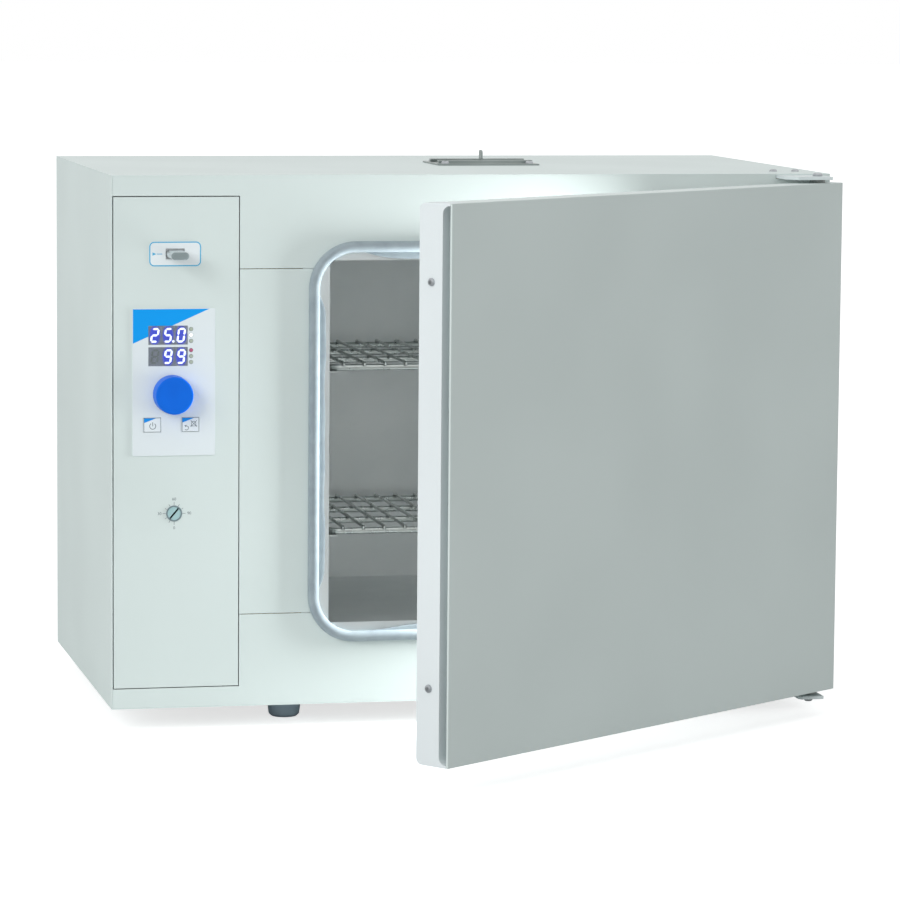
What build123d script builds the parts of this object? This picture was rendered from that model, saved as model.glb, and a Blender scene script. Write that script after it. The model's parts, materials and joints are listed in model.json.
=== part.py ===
from build123d import *
import os
from math import cos, radians, sin, sqrt

# Hot air sterilizer, bench model. Millimetres, +Z up, front towards -Y.
# Everything is laid out from the casing's front left bottom corner on the bench,
# with the door shut, and put in its final frame when it is written.

# Casing
cabinet_width = 700.0
cabinet_height = 505.0
cabinet_depth = 417.0
foot_height = 21.0
sheet = 1.2
pan_flange = 14.0
seam_gap = 0.6
flat_gap = 0.5

# Control bay, on the left
bay_width = 121.8
panel_top_margin = 19.5
panel_bottom_margin = 19.2
panel_gap = 0.9
panel_flange = 12.0
bulkhead_gap = 1.0

# Door
door_side_gap = 1.2
door_right_margin = 0.3
door_bottom_gap = 4.5
door_top_gap = 7.4
door_rear_gap = 2.7
door_thickness = 37.0
door_ajar_angle = 36.8
door_skin_sheet = 1.2
door_pan_depth = 27.0
door_corner_radius = 3.0
pivot_from_edge = 19.35
pivot_setback = 17.5
rail_width = 20.0
groove_depth = 17.5
groove_width = 8.5
groove_end_margin = 2.2
groove_end_radius = 7.5
hem_thickness = 2.2
rail_corner_radius = 6.0
rail_screw_spacing = 356.0
liner_sheet = 1.0
liner_setback = 6.0
liner_edge_margin = 3.0
magnet_length = 46.0
magnet_width = 12.0
magnet_thickness = 5.0
magnet_spacing = 250.0

# Hinge
hinge_plate = 3.0
top_plate_left = 34.5
bottom_plate_left = 14.5
hinge_plate_right = 10.0
hinge_plate_front = 18.0
hinge_plate_rear = 62.0
hinge_plate_chamfer = 10.0
pin_radius = 4.0
pin_reach = 15.0
pin_head_radius = 4.8
pin_head_height = 3.0
pin_running_clearance = 0.05
bush_radius = 6.0
bush_flange_radius = 7.5
bush_length = 16.0
bush_float = 0.2
hinge_block_size = 26.0
hinge_block_height = 18.0
plate_screw_radius = 2.0
plate_screw_head = 3.8
plate_screw_rear = 14.0

# Chamber
chamber_width = 406.0
chamber_height = 346.0
chamber_depth = 298.0
chamber_wall = 1.0
chamber_flange = 26.0
heater_space = 18.0
heater_radius = 4.0
heater_leg_spacing = 80.0
heater_pitch = 200.0
heater_front = 46.0
heater_bracket_width = 12.0
heater_bracket_plate = 2.0
insulation_rear = 78.0
probe_x = 55.0
probe_height = 137.7
probe_radius = 1.75
probe_length = 20.6
probe_slot_width = 4.2
probe_slot_length = 22.4
probe_stem = 70.0
probe_flange_radius = 13.0

# Door seal round the chamber mouth
seal_side = 21.0
seal_top = 18.35
seal_bulb = 9.0
seal_proud = 8.4
seal_corner_radius = 45.0
seal_lip = 8.0
seal_lip_thickness = 1.8
seal_lip_corner = 13.0
seal_root = 1.5
seal_seat = 1.0

# Shelves
shelf_side_gap = 6.0
shelf_front_y = 41.0
shelf_depth = 240.0
shelf_rod_radius = 3.0
shelf_wire_radius = 1.5
shelf_wire_pitch = 20.25
shelf_cross_rods = 4
shelf_corner_radius = 10.0
shelf_wire_overhang = 1.8
weld_sink = 0.5
lower_shelf_height = 82.5
shelf_spacing = 158.0
rack_post_width = 14.0
rack_post_thickness = 2.0
rack_post_top = 40.0
rack_post_inset = 40.0
runner_width = 13.0
runner_sheet = 1.2
runner_lip = 8.0
runner_slide_gap = 0.3

# Vent on the top
vent_x = 404.0
vent_y = 224.0
vent_bore = 26.0
vent_tube_wall = 1.0
vent_plate_width = 104.0
vent_plate_depth = 78.0
vent_plate_sheet = 1.5
vent_screw_x = 86.0
vent_screw_y = 60.0
vent_slide_width = 38.0
vent_slide_depth = 34.0
vent_slide_sheet = 1.2
vent_slide_clearance = 0.15
vent_guide_width = 5.0
vent_guide_lip = 3.0
vent_tab_width = 13.0
vent_tab_height = 11.0

# Controls on the panel
overlay_width = 78.5
overlay_height = 139.0
overlay_thickness = 0.8
overlay_x = 59.05
overlay_z = 310.5
window_width = 37.3
window_height = 17.9
window_x = 53.55
window_z = 344.8
window_spacing = 20.15
module_length = 37.6
module_height = 19.0
module_depth = 8.0
lamp_x = 75.4
lamp_radius = 1.5
lamp_heights = (360.5, 354.9, 349.3, 340.6, 335.0, 329.4)
knob_x = 57.4
knob_z = 299.2
knob_radius = 18.3
knob_depth = 17.4
knob_gap = 0.6
knob_edge_radius = 1.6
knob_skirt_taper = 0.5
shaft_radius = 3.0
shaft_flat = 1.0
shaft_running_clearance = 0.03
encoder_size = 12.0
encoder_depth = 6.5
encoder_bush_radius = 4.5
key_width = 16.4
key_height = 13.7
key_clearance = 0.2
key_thickness = 1.3
key_travel = 0.4
key_z = 270.3
power_key_x = 38.6
mute_key_x = 74.9
plunger_radius = 1.75
board_width = 72.0
board_height = 132.0
board_thickness = 1.6
board_setback = 13.0
standoff_radius = 3.0
standoff_inset = 5.0
dial_x = 59.5
dial_z = 186.0
dial_radius = 6.2
dial_clearance = 0.1
dial_thickness = 3.0
dial_slot_width = 1.6
dial_slot_depth = 1.2
dial_bezel_radius = 7.6
dial_bezel_proud = 0.7
thermostat_size = 36.0
thermostat_depth = 30.0

# USB socket and the drive in it
usb_x = 60.3
usb_z = 431.2
usb_label_width = 49.6
usb_label_height = 23.7
usb_label_thickness = 0.5
usb_label_radius = 5.0
usb_mouth_width = 18.0
usb_mouth_height = 10.2
usb_plug_width = 12.0
usb_plug_height = 4.5
usb_plug_length = 11.75
usb_plug_clearance = 0.05
usb_socket_wall = 1.4
usb_socket_setback = 1.0
drive_width = 17.2
drive_height = 7.4
drive_length = 35.0
drive_end_radius = 3.2

# Electrics in the bay and on the rear cover
relay_width = 44.0
relay_length = 58.0
relay_depth = 24.0
inlet_width = 27.0
inlet_height = 20.0
inlet_depth = 20.0
inlet_flange_width = 50.0
inlet_flange_height = 24.0
inlet_flange = 2.5
inlet_x = 60.0
inlet_z = 60.0
inlet_cavity_depth = 16.0
inlet_pin_width = 2.0
inlet_pin_height = 4.0
inlet_pin_spacing = 14.0
louvre_length = 60.0
louvre_height = 3.5
louvre_pitch = 10.0
louvre_count = 8
louvre_z = 300.0
cover_screw_inset = 9.0
cover_screw_head = 3.6
cover_screw_count = 2

# Feet
foot_radius = 17.0
foot_bottom_radius = 14.5
foot_round = 2.5
foot_inset_y = 60.0
foot_inset_left = 176.0
foot_inset_right = 55.0
foot_screw_radius = 3.0

# Worked out from the sizes above
base = foot_height
floor_top = base + sheet
roof_under = base + cabinet_height - sheet
inner_right = cabinet_width - sheet
inner_rear = cabinet_depth - sheet

door_left = bay_width + door_side_gap
door_right = cabinet_width - door_right_margin
door_bottom = base + door_bottom_gap
door_top = base + cabinet_height - door_top_gap
door_rear = -door_rear_gap
door_front = door_rear - door_thickness
door_mid_z = (door_bottom + door_top) / 2
pivot_x = door_right - pivot_from_edge
pivot_y = door_front + pivot_setback

chamber_x = (door_left + door_right) / 2
chamber_z = door_mid_z
chamber_left = chamber_x - chamber_width / 2
chamber_right = chamber_x + chamber_width / 2
chamber_floor = chamber_z - chamber_height / 2
chamber_roof = chamber_z + chamber_height / 2
chamber_back = sheet + chamber_wall + chamber_depth
seal_width = chamber_width + 2 * seal_side
seal_height = chamber_height + 2 * seal_top
mouth_inset = seal_bulb - seal_seat
seam_low = base + 88.0
seam_high = base + 417.0


def block(x0, x1, y0, y1, z0, z1):
    """A box given by its two corners."""
    middle = Pos((x0 + x1) / 2, (y0 + y1) / 2, (z0 + z1) / 2)
    return middle * Box(x1 - x0, y1 - y0, z1 - z0)


def front_plane(x, y, z):
    """A drawing plane that faces the viewer: its x runs right and its y runs up."""
    return Plane(origin=(x, y, z), x_dir=(1, 0, 0), z_dir=(0, -1, 0))


def front_plate(outline, x, z, y0, y1):
    """An outline drawn on the front and given depth from y0 back to y1."""
    return extrude(front_plane(x, y1, z) * outline, amount=y1 - y0)


def rod_y(x, z, radius, y0, y1):
    """A round bar or hole that runs front to back."""
    return front_plate(Circle(radius), x, z, y0, y1)


def rod_z(x, y, radius, z0, z1):
    """A round bar or hole that stands upright."""
    return Pos(x, y, (z0 + z1) / 2) * Cylinder(radius, z1 - z0)


def rod_x(y, z, radius, x0, x1):
    """A round bar that runs left to right."""
    return Pos((x0 + x1) / 2, y, z) * Rot(0, 90, 0) * Cylinder(radius, x1 - x0)


def ring_plate(inset, radius, inner_inset, inner_radius, y0, y1):
    """A rounded rectangular ring round the chamber mouth, inset from the seal's outer edge."""
    outer = RectangleRounded(seal_width - 2 * inset, seal_height - 2 * inset, radius)
    width = seal_width - 2 * inner_inset
    height = seal_height - 2 * inner_inset
    return front_plate(outer - RectangleRounded(width, height, inner_radius), chamber_x, chamber_z, y0, y1)


def mouth_cut():
    """The rounded opening in the fascia, hidden under the seal's bulb."""
    radius = seal_corner_radius - mouth_inset
    hole = RectangleRounded(seal_width - 2 * mouth_inset, seal_height - 2 * mouth_inset, radius)
    return front_plate(hole, chamber_x, chamber_z, -sheet, 2 * sheet)


def headed(place, head_radius, head_height, section, reach):
    """A head standing on the plane given, with a shank of that section going down from it."""
    head = extrude(Circle(head_radius), head_height)
    head = chamfer(head.faces().sort_by(Axis.Z)[-1].edges(), head_height * 0.4)
    return place.location * (head + extrude(section, -reach))


def pan_screw(place, head_radius, head_height, shank_radius, reach):
    """A screw whose hidden shank is eight-sided inside the hole's circle, which keeps the many screws light."""
    return headed(place, head_radius, head_height, RegularPolygon(shank_radius, 8), reach)


def foot_places():
    """Centres of the four feet."""
    left = foot_inset_left
    right = cabinet_width - foot_inset_right
    return [(x, y) for x in (left, right) for y in (foot_inset_y, cabinet_depth - foot_inset_y)]


def plate_screws_at(left):
    """Centres of a pivot plate's two screws, a quarter of its width in from each side."""
    width = left + hinge_plate_right
    y = hinge_plate_rear - plate_screw_rear
    return [(pivot_x - left + width / 4, y), (pivot_x - left + 3 * width / 4, y)]


# Casing


def pan(z, up):
    """A flat sheet with a flange folded along each edge, just inside the side panels."""
    sheet_z = (z, z + sheet) if up > 0 else (z - sheet, z)
    flange_z = (z + sheet, z + sheet + pan_flange) if up > 0 else (z - sheet - pan_flange, z - sheet)
    body = block(0, cabinet_width, 0, cabinet_depth, *sheet_z)
    body += block(sheet, 2 * sheet, sheet, inner_rear, *flange_z)
    body += block(inner_right - sheet, inner_right, sheet, inner_rear, *flange_z)
    body += block(2 * sheet, inner_right - sheet, inner_rear - sheet, inner_rear, *flange_z)
    return body


def base_pan():
    body = pan(base, 1)
    for x, y in foot_places():
        body -= rod_z(x, y, foot_screw_radius + 0.2, base - sheet, base + 2 * sheet)
    for x, y in plate_screws_at(bottom_plate_left):
        body -= rod_z(x, y, plate_screw_radius + 0.1, base - sheet, base + 2 * sheet)
    return body


def top_cover():
    body = pan(base + cabinet_height, -1)
    tube = vent_bore / 2 + vent_tube_wall
    body -= rod_z(vent_x, vent_y, tube + 0.1, roof_under - sheet, roof_under + 2 * sheet)
    for x, y in plate_screws_at(top_plate_left):
        body -= rod_z(x, y, plate_screw_radius + 0.1, roof_under - sheet, roof_under + 2 * sheet)
    return body


def side_panel(x):
    return block(x, x + sheet, 0, cabinet_depth, floor_top, roof_under)


def cover_screw_places():
    """Screws down both edges of the rear cover."""
    low = floor_top + pan_flange + cover_screw_inset
    high = roof_under - pan_flange - cover_screw_inset
    step = (high - low) / (cover_screw_count - 1)
    sides = (sheet + cover_screw_inset, inner_right - cover_screw_inset)
    return [(x, low + i * step) for x in sides for i in range(cover_screw_count)]


def rear_cover():
    body = block(sheet, inner_right, inner_rear, cabinet_depth, floor_top, roof_under)
    slot = Rectangle(louvre_length, louvre_height)
    for i in range(louvre_count):
        height = base + louvre_z + i * louvre_pitch
        body -= front_plate(slot, inlet_x, height, inner_rear - sheet, cabinet_depth + sheet)
    body -= block(
        inlet_x - inlet_width / 2,
        inlet_x + inlet_width / 2,
        inner_rear - sheet,
        cabinet_depth + sheet,
        base + inlet_z - inlet_height / 2,
        base + inlet_z + inlet_height / 2,
    )
    for x, z in cover_screw_places():
        body -= rod_y(x, z, 1.6, inner_rear - sheet, cabinet_depth + sheet)
    return body


def cover_screws():
    """Pan head screws, with their shanks through the rear cover."""
    screws = []
    for x, z in cover_screw_places():
        seat = Plane(origin=(x, cabinet_depth, z), z_dir=(0, 1, 0))
        screws.append(pan_screw(seat, cover_screw_head, 2.0, 1.5, sheet + 6.0))
    return screws


def front_rail(z_bay, z_seam, z_end):
    """A fascia sheet across the whole front, narrow over the control bay and deep over the chamber."""
    low, high = sorted((z_bay, z_end))
    body = block(sheet, bay_width, 0, sheet, low, high)
    low, high = sorted((z_seam, z_end))
    return body + block(bay_width, inner_right, 0, sheet, low, high)


def front_top_rail():
    body = front_rail(base + cabinet_height - panel_top_margin, seam_high, roof_under)
    body -= mouth_cut()
    slot = block(
        pivot_x - top_plate_left - flat_gap,
        pivot_x + hinge_plate_right + flat_gap,
        -sheet,
        2 * sheet,
        roof_under - hinge_plate - flat_gap,
        roof_under + sheet,
    )
    return body - slot


def front_bottom_rail():
    return front_rail(base + panel_bottom_margin, seam_low, floor_top) - mouth_cut()


def front_stile(x0, x1):
    """The upright fascia sheet beside the chamber mouth, between the two seams."""
    return block(x0, x1, 0, sheet, seam_low + seam_gap, seam_high - seam_gap) - mouth_cut()


def control_panel():
    left = sheet + panel_gap
    right = bay_width - panel_gap
    low = base + panel_bottom_margin + panel_gap
    high = base + cabinet_height - panel_top_margin - panel_gap
    body = block(left, right, 0, sheet, low, high)
    body += block(left, left + sheet, sheet, panel_flange, low, high)
    body += block(right - sheet, right, sheet, panel_flange, low, high)
    for i in (-1, 1):
        opening = Rectangle(module_length + 0.4, module_height + 0.4)
        body -= front_plate(opening, window_x, base + window_z + i * window_spacing / 2, -sheet, 2 * sheet)
    for height in lamp_heights:
        body -= rod_y(lamp_x, base + height, lamp_radius + 0.1, -sheet, 2 * sheet)
    body -= rod_y(knob_x, base + knob_z, encoder_bush_radius + 0.1, -sheet, 2 * sheet)
    for x in (power_key_x, mute_key_x):
        opening = Rectangle(key_width, key_height)
        body -= front_plate(opening, x, base + key_z, -sheet, 2 * sheet)
    mouth = Rectangle(usb_mouth_width, usb_mouth_height)
    body -= front_plate(mouth, usb_x, base + usb_z, -sheet, 2 * sheet)
    return body - rod_y(dial_x, base + dial_z, dial_radius + 1.0, -sheet, 2 * sheet)


def bay_bulkhead():
    """The wall that keeps the hot side's insulation out of the control bay."""
    x = bay_width + bulkhead_gap
    low = floor_top + pan_flange
    high = roof_under - pan_flange
    body = block(x, x + sheet, sheet, inner_rear - sheet, low, high)
    body += block(x, x + sheet, sheet, inner_rear - sheet, floor_top, low)
    return body + block(x, x + sheet, sheet, inner_rear - sheet, high, roof_under)


# Hot side


def inner_chamber():
    """A stainless tub welded from flat sheets, with a flange that lies behind the fascia."""
    wall = chamber_wall
    front = sheet + wall
    rear = chamber_back + wall
    left = chamber_left - wall
    right = chamber_right + wall
    sides = [
        block(left, chamber_left, front, rear, chamber_floor, chamber_roof),
        block(chamber_right, right, front, rear, chamber_floor, chamber_roof),
    ]
    floor = block(left, right, front, rear, chamber_floor - wall, chamber_floor)
    roof = block(left, right, front, rear, chamber_roof, chamber_roof + wall)
    roof -= rod_z(vent_x, vent_y, vent_bore / 2, chamber_roof - wall, chamber_roof + 2 * wall)
    back = block(chamber_left, chamber_right, chamber_back, rear, chamber_floor, chamber_roof)
    slot = Rot(0, 0, 90) * SlotOverall(probe_slot_length, probe_slot_width)
    at_z = chamber_floor + probe_height
    back -= front_plate(slot, chamber_left + probe_x, at_z, chamber_back - wall, chamber_back + 2 * wall)
    flange = block(
        chamber_left - chamber_flange,
        chamber_right + chamber_flange,
        sheet,
        front,
        chamber_floor - chamber_flange,
        chamber_roof + chamber_flange,
    )
    flange -= block(chamber_left, chamber_right, 0, front + wall, chamber_floor, chamber_roof)
    return sides + [floor, roof, back, flange]


def heater_z():
    return chamber_floor - chamber_wall - heater_space / 2


def heater_legs():
    """The x of each pair of legs."""
    half = heater_leg_spacing / 2
    centres = (chamber_x - heater_pitch / 2, chamber_x + heater_pitch / 2)
    return [(centre - half, centre + half) for centre in centres]


def insulation_y():
    return (sheet + 2 * chamber_wall, chamber_back + chamber_wall + insulation_rear)


def insulation_jacket():
    """Mineral wool round the tub, open at the front, with room for the heaters under the floor."""
    wall = chamber_wall
    front, rear = insulation_y()
    gap = flat_gap
    body = block(
        bay_width + bulkhead_gap + sheet + gap,
        inner_right - sheet - gap,
        front,
        rear,
        floor_top + gap,
        roof_under - hinge_plate - gap,
    )
    body -= block(
        chamber_left - wall,
        chamber_right + wall,
        0,
        chamber_back + wall,
        chamber_floor - wall,
        chamber_roof + wall,
    )
    body -= block(
        chamber_left + 2 * wall,
        chamber_right - 2 * wall,
        front + wall,
        chamber_back + wall,
        chamber_floor - wall - heater_space,
        chamber_floor - wall,
    )
    leg = heater_radius + gap
    for pair in heater_legs():
        for x in pair:
            body -= block(x - leg, x + leg, chamber_back, rear + gap, heater_z() - leg, heater_z() + leg)
    x, z = chamber_left + probe_x, chamber_floor + probe_height
    room = probe_flange_radius
    stem = block(x - room, x + room, chamber_back, rear + gap, z - room, z + room)
    tube = rod_z(vent_x, vent_y, vent_bore / 2 + vent_tube_wall + gap, chamber_roof, roof_under)
    return body - stem - tube - screw_pockets()


def screw_pockets():
    """Pockets in the wool for the ends of the screws through the casing."""
    pockets = []
    room = foot_screw_radius + 1.0
    for x, y in plate_screws_at(top_plate_left):
        pockets.append(block(x - room, x + room, y - room, y + room, roof_under - 12.0, roof_under))
    for x, y in plate_screws_at(bottom_plate_left) + foot_places():
        pockets.append(block(x - room, x + room, y - room, y + room, floor_top, floor_top + 9.0))
    return Part() + pockets


def heating_elements():
    """Two tubular elements, each bent into a U with its ends out at the rear, drawn eight-sided."""
    end = insulation_y()[1] + 14.0
    z = heater_z()
    elements = []
    for left, right in heater_legs():
        radius = (right - left) / 2
        start = heater_front + radius
        section = RegularPolygon(heater_radius, 8, major_radius=False, rotation=22.5)
        turned = Plane(origin=(left, start, z), x_dir=(1, 0, 0), z_dir=(0, -1, 0)) * section
        element = revolve(turned, axis=Axis((left + radius, start, z), (0, 0, 1)), revolution_arc=180)
        for x in (left, right):
            element += front_plate(section, x, z, start, end)
        elements.append(element)
    return elements


def heater_brackets():
    """Strips that hang from the chamber floor and hold the elements up."""
    brackets = []
    low = heater_z() - heater_radius - heater_bracket_plate
    top = chamber_floor - chamber_wall
    reach = heater_pitch / 2 + heater_leg_spacing / 2 + 3 * heater_radius
    for share in (0.35, 0.8):
        y = sheet + chamber_depth * share
        near, far = y - heater_bracket_width / 2, y + heater_bracket_width / 2
        strip = block(chamber_x - reach, chamber_x + reach, near, far, low, low + heater_bracket_plate)
        for side in (-1, 1):
            x = chamber_x + side * (reach - heater_bracket_plate / 2)
            half = heater_bracket_plate / 2
            strip += block(x - half, x + half, near, far, low, top)
        brackets.append(strip)
    return brackets


def chimney_tube():
    """The exhaust tube from the chamber's roof up through the top cover."""
    bore = vent_bore / 2
    low = chamber_roof + chamber_wall
    high = base + cabinet_height
    tube = rod_z(vent_x, vent_y, bore + vent_tube_wall, low, high)
    return tube - rod_z(vent_x, vent_y, bore, low - 1, high + 1)


def temperature_probe():
    """A short sensor rod in the back wall's slot, on a stem with a flange behind the wall."""
    x = chamber_left + probe_x
    z = chamber_floor + probe_height
    y = chamber_back + chamber_wall / 2
    half = probe_length / 2
    tip = rod_z(x, y, probe_radius, z - half, z + half)
    behind = chamber_back + chamber_wall
    stem = rod_y(x, z, probe_radius, y, behind + probe_stem)
    return tip + stem + rod_y(x, z, probe_flange_radius - 0.5, behind, behind + 1.5)


def door_gasket():
    """Silicone seal: a bulb on the fascia, a root in its opening and a lip over the flange."""
    bulb = ring_plate(0, seal_corner_radius, seal_bulb, seal_corner_radius - seal_bulb, -seal_proud, 0)
    front = bulb.faces().sort_by(Axis.Y)[0]
    bulb = chamfer(front.edges(), seal_bulb * 0.3)
    root_radius = seal_corner_radius - mouth_inset
    root = ring_plate(mouth_inset, root_radius, mouth_inset + seal_root, root_radius - seal_root, 0, sheet)
    inset = seal_bulb - seal_seat
    lip = ring_plate(
        inset, seal_corner_radius - inset, seal_bulb + seal_lip, seal_lip_corner, -seal_lip_thickness, 0
    )
    return bulb + root + lip


def shelf_rod_z(level):
    """Height of the middle of a shelf's rods."""
    return chamber_floor + lower_shelf_height + level * shelf_spacing


def shelf(level):
    """A welded wire shelf: a bent frame, cross rods, and thinner wires laid over them.

    The rods are drawn eight-sided and the wires six-sided, so that the many welds stay light.
    """
    z = shelf_rod_z(level)
    left = chamber_left + shelf_side_gap + shelf_rod_radius
    right = chamber_right - shelf_side_gap - shelf_rod_radius
    rear = shelf_front_y + shelf_depth
    rod = RegularPolygon(shelf_rod_radius, 8, major_radius=False, rotation=22.5)
    wire = RegularPolygon(shelf_wire_radius, 6, major_radius=False)
    outline = RectangleRounded(right - left, shelf_depth, shelf_corner_radius)
    loop = Pos((left + right) / 2, (shelf_front_y + rear) / 2, z) * outline.wire()
    body = sweep(Plane(origin=loop @ 0, x_dir=(0, 0, 1), z_dir=loop % 0) * rod, path=loop)
    step = shelf_depth / (shelf_cross_rods - 1)
    for i in range(1, shelf_cross_rods - 1):
        start = Plane(origin=(left, shelf_front_y + i * step, z), x_dir=(0, 0, 1), z_dir=(1, 0, 0))
        body += extrude(start * rod, right - left)
    wires = int((right - left) / 2 / shelf_wire_pitch)
    over = z + shelf_rod_radius + shelf_wire_radius - weld_sink
    ends = (shelf_front_y - shelf_wire_overhang, rear + shelf_wire_overhang)
    for i in range(-wires, wires + 1):
        body += front_plate(wire, chamber_x + i * shelf_wire_pitch, over, *ends)
    return body


def shelf_racks():
    """A rack on each side wall: two posts and a runner under each shelf."""
    racks = []
    run_start = shelf_front_y - shelf_rod_radius - 2.0
    run_end = shelf_front_y + shelf_depth + shelf_rod_radius + 4.0
    for wall, side in ((chamber_left, 1), (chamber_right, -1)):
        rack = Part()
        for y in (shelf_front_y + rack_post_inset, shelf_front_y + shelf_depth - rack_post_inset):
            x0, x1 = sorted((wall, wall + side * rack_post_thickness))
            half = rack_post_width / 2
            rack += block(x0, x1, y - half, y + half, chamber_floor, chamber_roof - rack_post_top)
        for level in (0, 1):
            top = shelf_rod_z(level) - shelf_rod_radius - runner_slide_gap
            inner = wall + side * rack_post_thickness
            x0, x1 = sorted((inner, inner + side * runner_width))
            rack += block(x0, x1, run_start, run_end, top - runner_sheet, top)
            x0, x1 = sorted((inner, inner + side * runner_sheet))
            rack += block(x0, x1, run_start, run_end, top - runner_lip, top)
        racks.append(rack)
    return racks


# Vent on the top


def vent_z():
    return base + cabinet_height


def slide_top():
    return vent_z() + vent_plate_sheet + vent_slide_clearance + vent_slide_sheet


def vent_frame():
    """The vent's frame plate, with a folded guide along each side of the slide."""
    z = vent_z()
    top = z + vent_plate_sheet
    half_x, half_y = vent_plate_width / 2, vent_plate_depth / 2
    body = block(vent_x - half_x, vent_x + half_x, vent_y - half_y, vent_y + half_y, z, top)
    body = fillet(body.edges().filter_by(Axis.Z), 4.0)
    guide = slide_top() + vent_slide_clearance
    for side in (-1, 1):
        inner = vent_y + side * (vent_slide_depth / 2 + vent_slide_clearance)
        outer = inner + side * vent_guide_width
        lip = inner - side * vent_guide_lip
        y0, y1 = sorted((inner, outer))
        body += block(vent_x - half_x + 4, vent_x + half_x - 4, y0, y1, top, guide)
        y0, y1 = sorted((lip, outer))
        body += block(vent_x - half_x + 4, vent_x + half_x - 4, y0, y1, guide, guide + vent_plate_sheet)
    for x, y in vent_screw_places():
        body -= rod_z(x, y, 2.1, z - 1, top + 1)
    return body - rod_z(vent_x, vent_y, vent_bore / 2, z - 1, top + 1)


def vent_screw_places():
    half_x, half_y = vent_screw_x / 2, vent_screw_y / 2
    return [(vent_x + i * half_x, vent_y + j * half_y) for i in (-1, 1) for j in (-1, 1)]


def vent_screws():
    screws = []
    top = vent_z() + vent_plate_sheet
    for x, y in vent_screw_places():
        screws.append(pan_screw(Plane((x, y, top)), 3.9, 2.6, 2.0, vent_plate_sheet))
    return screws


def vent_slider():
    """The flat slide that closes the vent, with a tab folded up across its way of moving."""
    half_x, half_y = vent_slide_width / 2, vent_slide_depth / 2
    under = vent_z() + vent_plate_sheet + vent_slide_clearance
    body = block(vent_x - half_x, vent_x + half_x, vent_y - half_y, vent_y + half_y, under, slide_top())
    half_tab = vent_tab_width / 2
    half_sheet = vent_slide_sheet / 2
    tab = block(
        vent_x - half_sheet,
        vent_x + half_sheet,
        vent_y - half_tab,
        vent_y + half_tab,
        slide_top(),
        slide_top() + vent_tab_height,
    )
    corners = tab.edges().filter_by(Axis.X).sort_by(Axis.Z)[-2:]
    return body + fillet(corners, 3.0)


# Controls


def control_overlay():
    """The membrane over the controls, cut out for windows, lamps, keys and the knob's bush."""
    film = RectangleRounded(overlay_width, overlay_height, 1.5)
    body = front_plate(film, overlay_x, base + overlay_z, -overlay_thickness, 0)
    front, back = -overlay_thickness - 1, 1
    for i in (-1, 1):
        window = Rectangle(window_width, window_height)
        body -= front_plate(window, window_x, base + window_z + i * window_spacing / 2, front, back)
    for height in lamp_heights:
        body -= rod_y(lamp_x, base + height, lamp_radius + 0.05, front, back)
    for x in (power_key_x, mute_key_x):
        key = Rectangle(key_width + 2 * key_clearance, key_height + 2 * key_clearance)
        body -= front_plate(key, x, base + key_z, front, back)
    return body - rod_y(knob_x, base + knob_z, encoder_bush_radius + 0.1, front, back)


def display_windows():
    """Clear windows in the membrane, in front of the display modules."""
    windows = []
    for i in (-1, 1):
        height = base + window_z + i * window_spacing / 2
        windows.append(
            front_plate(Rectangle(window_width, window_height), window_x, height, -overlay_thickness, -0.1)
        )
    return windows


def display_modules():
    """Two three-digit modules that reach forward through the panel."""
    modules = []
    for i in (-1, 1):
        height = base + window_z + i * window_spacing / 2
        outline = Rectangle(module_length, module_height)
        modules.append(front_plate(outline, window_x, height, 0, board_front()))
    return modules


def board_front():
    return sheet + board_setback


def status_lamps():
    """Lamps on the board, each a light pipe that ends in the membrane."""
    lamps = []
    for height in lamp_heights:
        lamps.append(rod_y(lamp_x, base + height, lamp_radius, -overlay_thickness, board_front()))
    return lamps


def controller_board():
    return front_plate(
        Rectangle(board_width, board_height),
        overlay_x,
        base + overlay_z,
        board_front(),
        board_front() + board_thickness,
    )


def standoff_places():
    half_x = board_width / 2 - standoff_inset
    half_z = board_height / 2 - standoff_inset
    return [(overlay_x + i * half_x, base + overlay_z + j * half_z) for i in (-1, 1) for j in (-1, 1)]


def board_standoffs():
    """Round posts that carry the board behind the panel."""
    return [rod_y(x, z, standoff_radius, sheet, board_front()) for x, z in standoff_places()]


def rotary_encoder():
    """The encoder's case on the board, with its bush through the panel."""
    x, z = knob_x, base + knob_z
    case_front = board_front() - encoder_depth
    case = front_plate(Rectangle(encoder_size, encoder_size), x, z, case_front, board_front())
    case += rod_y(x, z, encoder_bush_radius, -overlay_thickness, case_front)
    bore = shaft_radius + shaft_running_clearance
    return case - rod_y(x, z, bore, -overlay_thickness - 1, board_front() - 1.0)


def knob_front():
    return -overlay_thickness - knob_gap - knob_depth


def encoder_shaft():
    """The shaft, with the flat that drives the knob."""
    x, z = knob_x, base + knob_z
    back = board_front() - 1.2
    shaft = rod_y(x, z, shaft_radius, knob_front() + 4.0, back)
    flat = block(
        x - shaft_radius,
        x + shaft_radius,
        knob_front(),
        -overlay_thickness - knob_gap - 1.0,
        z + shaft_radius - shaft_flat,
        z + shaft_radius + 1,
    )
    return shaft - flat


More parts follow.
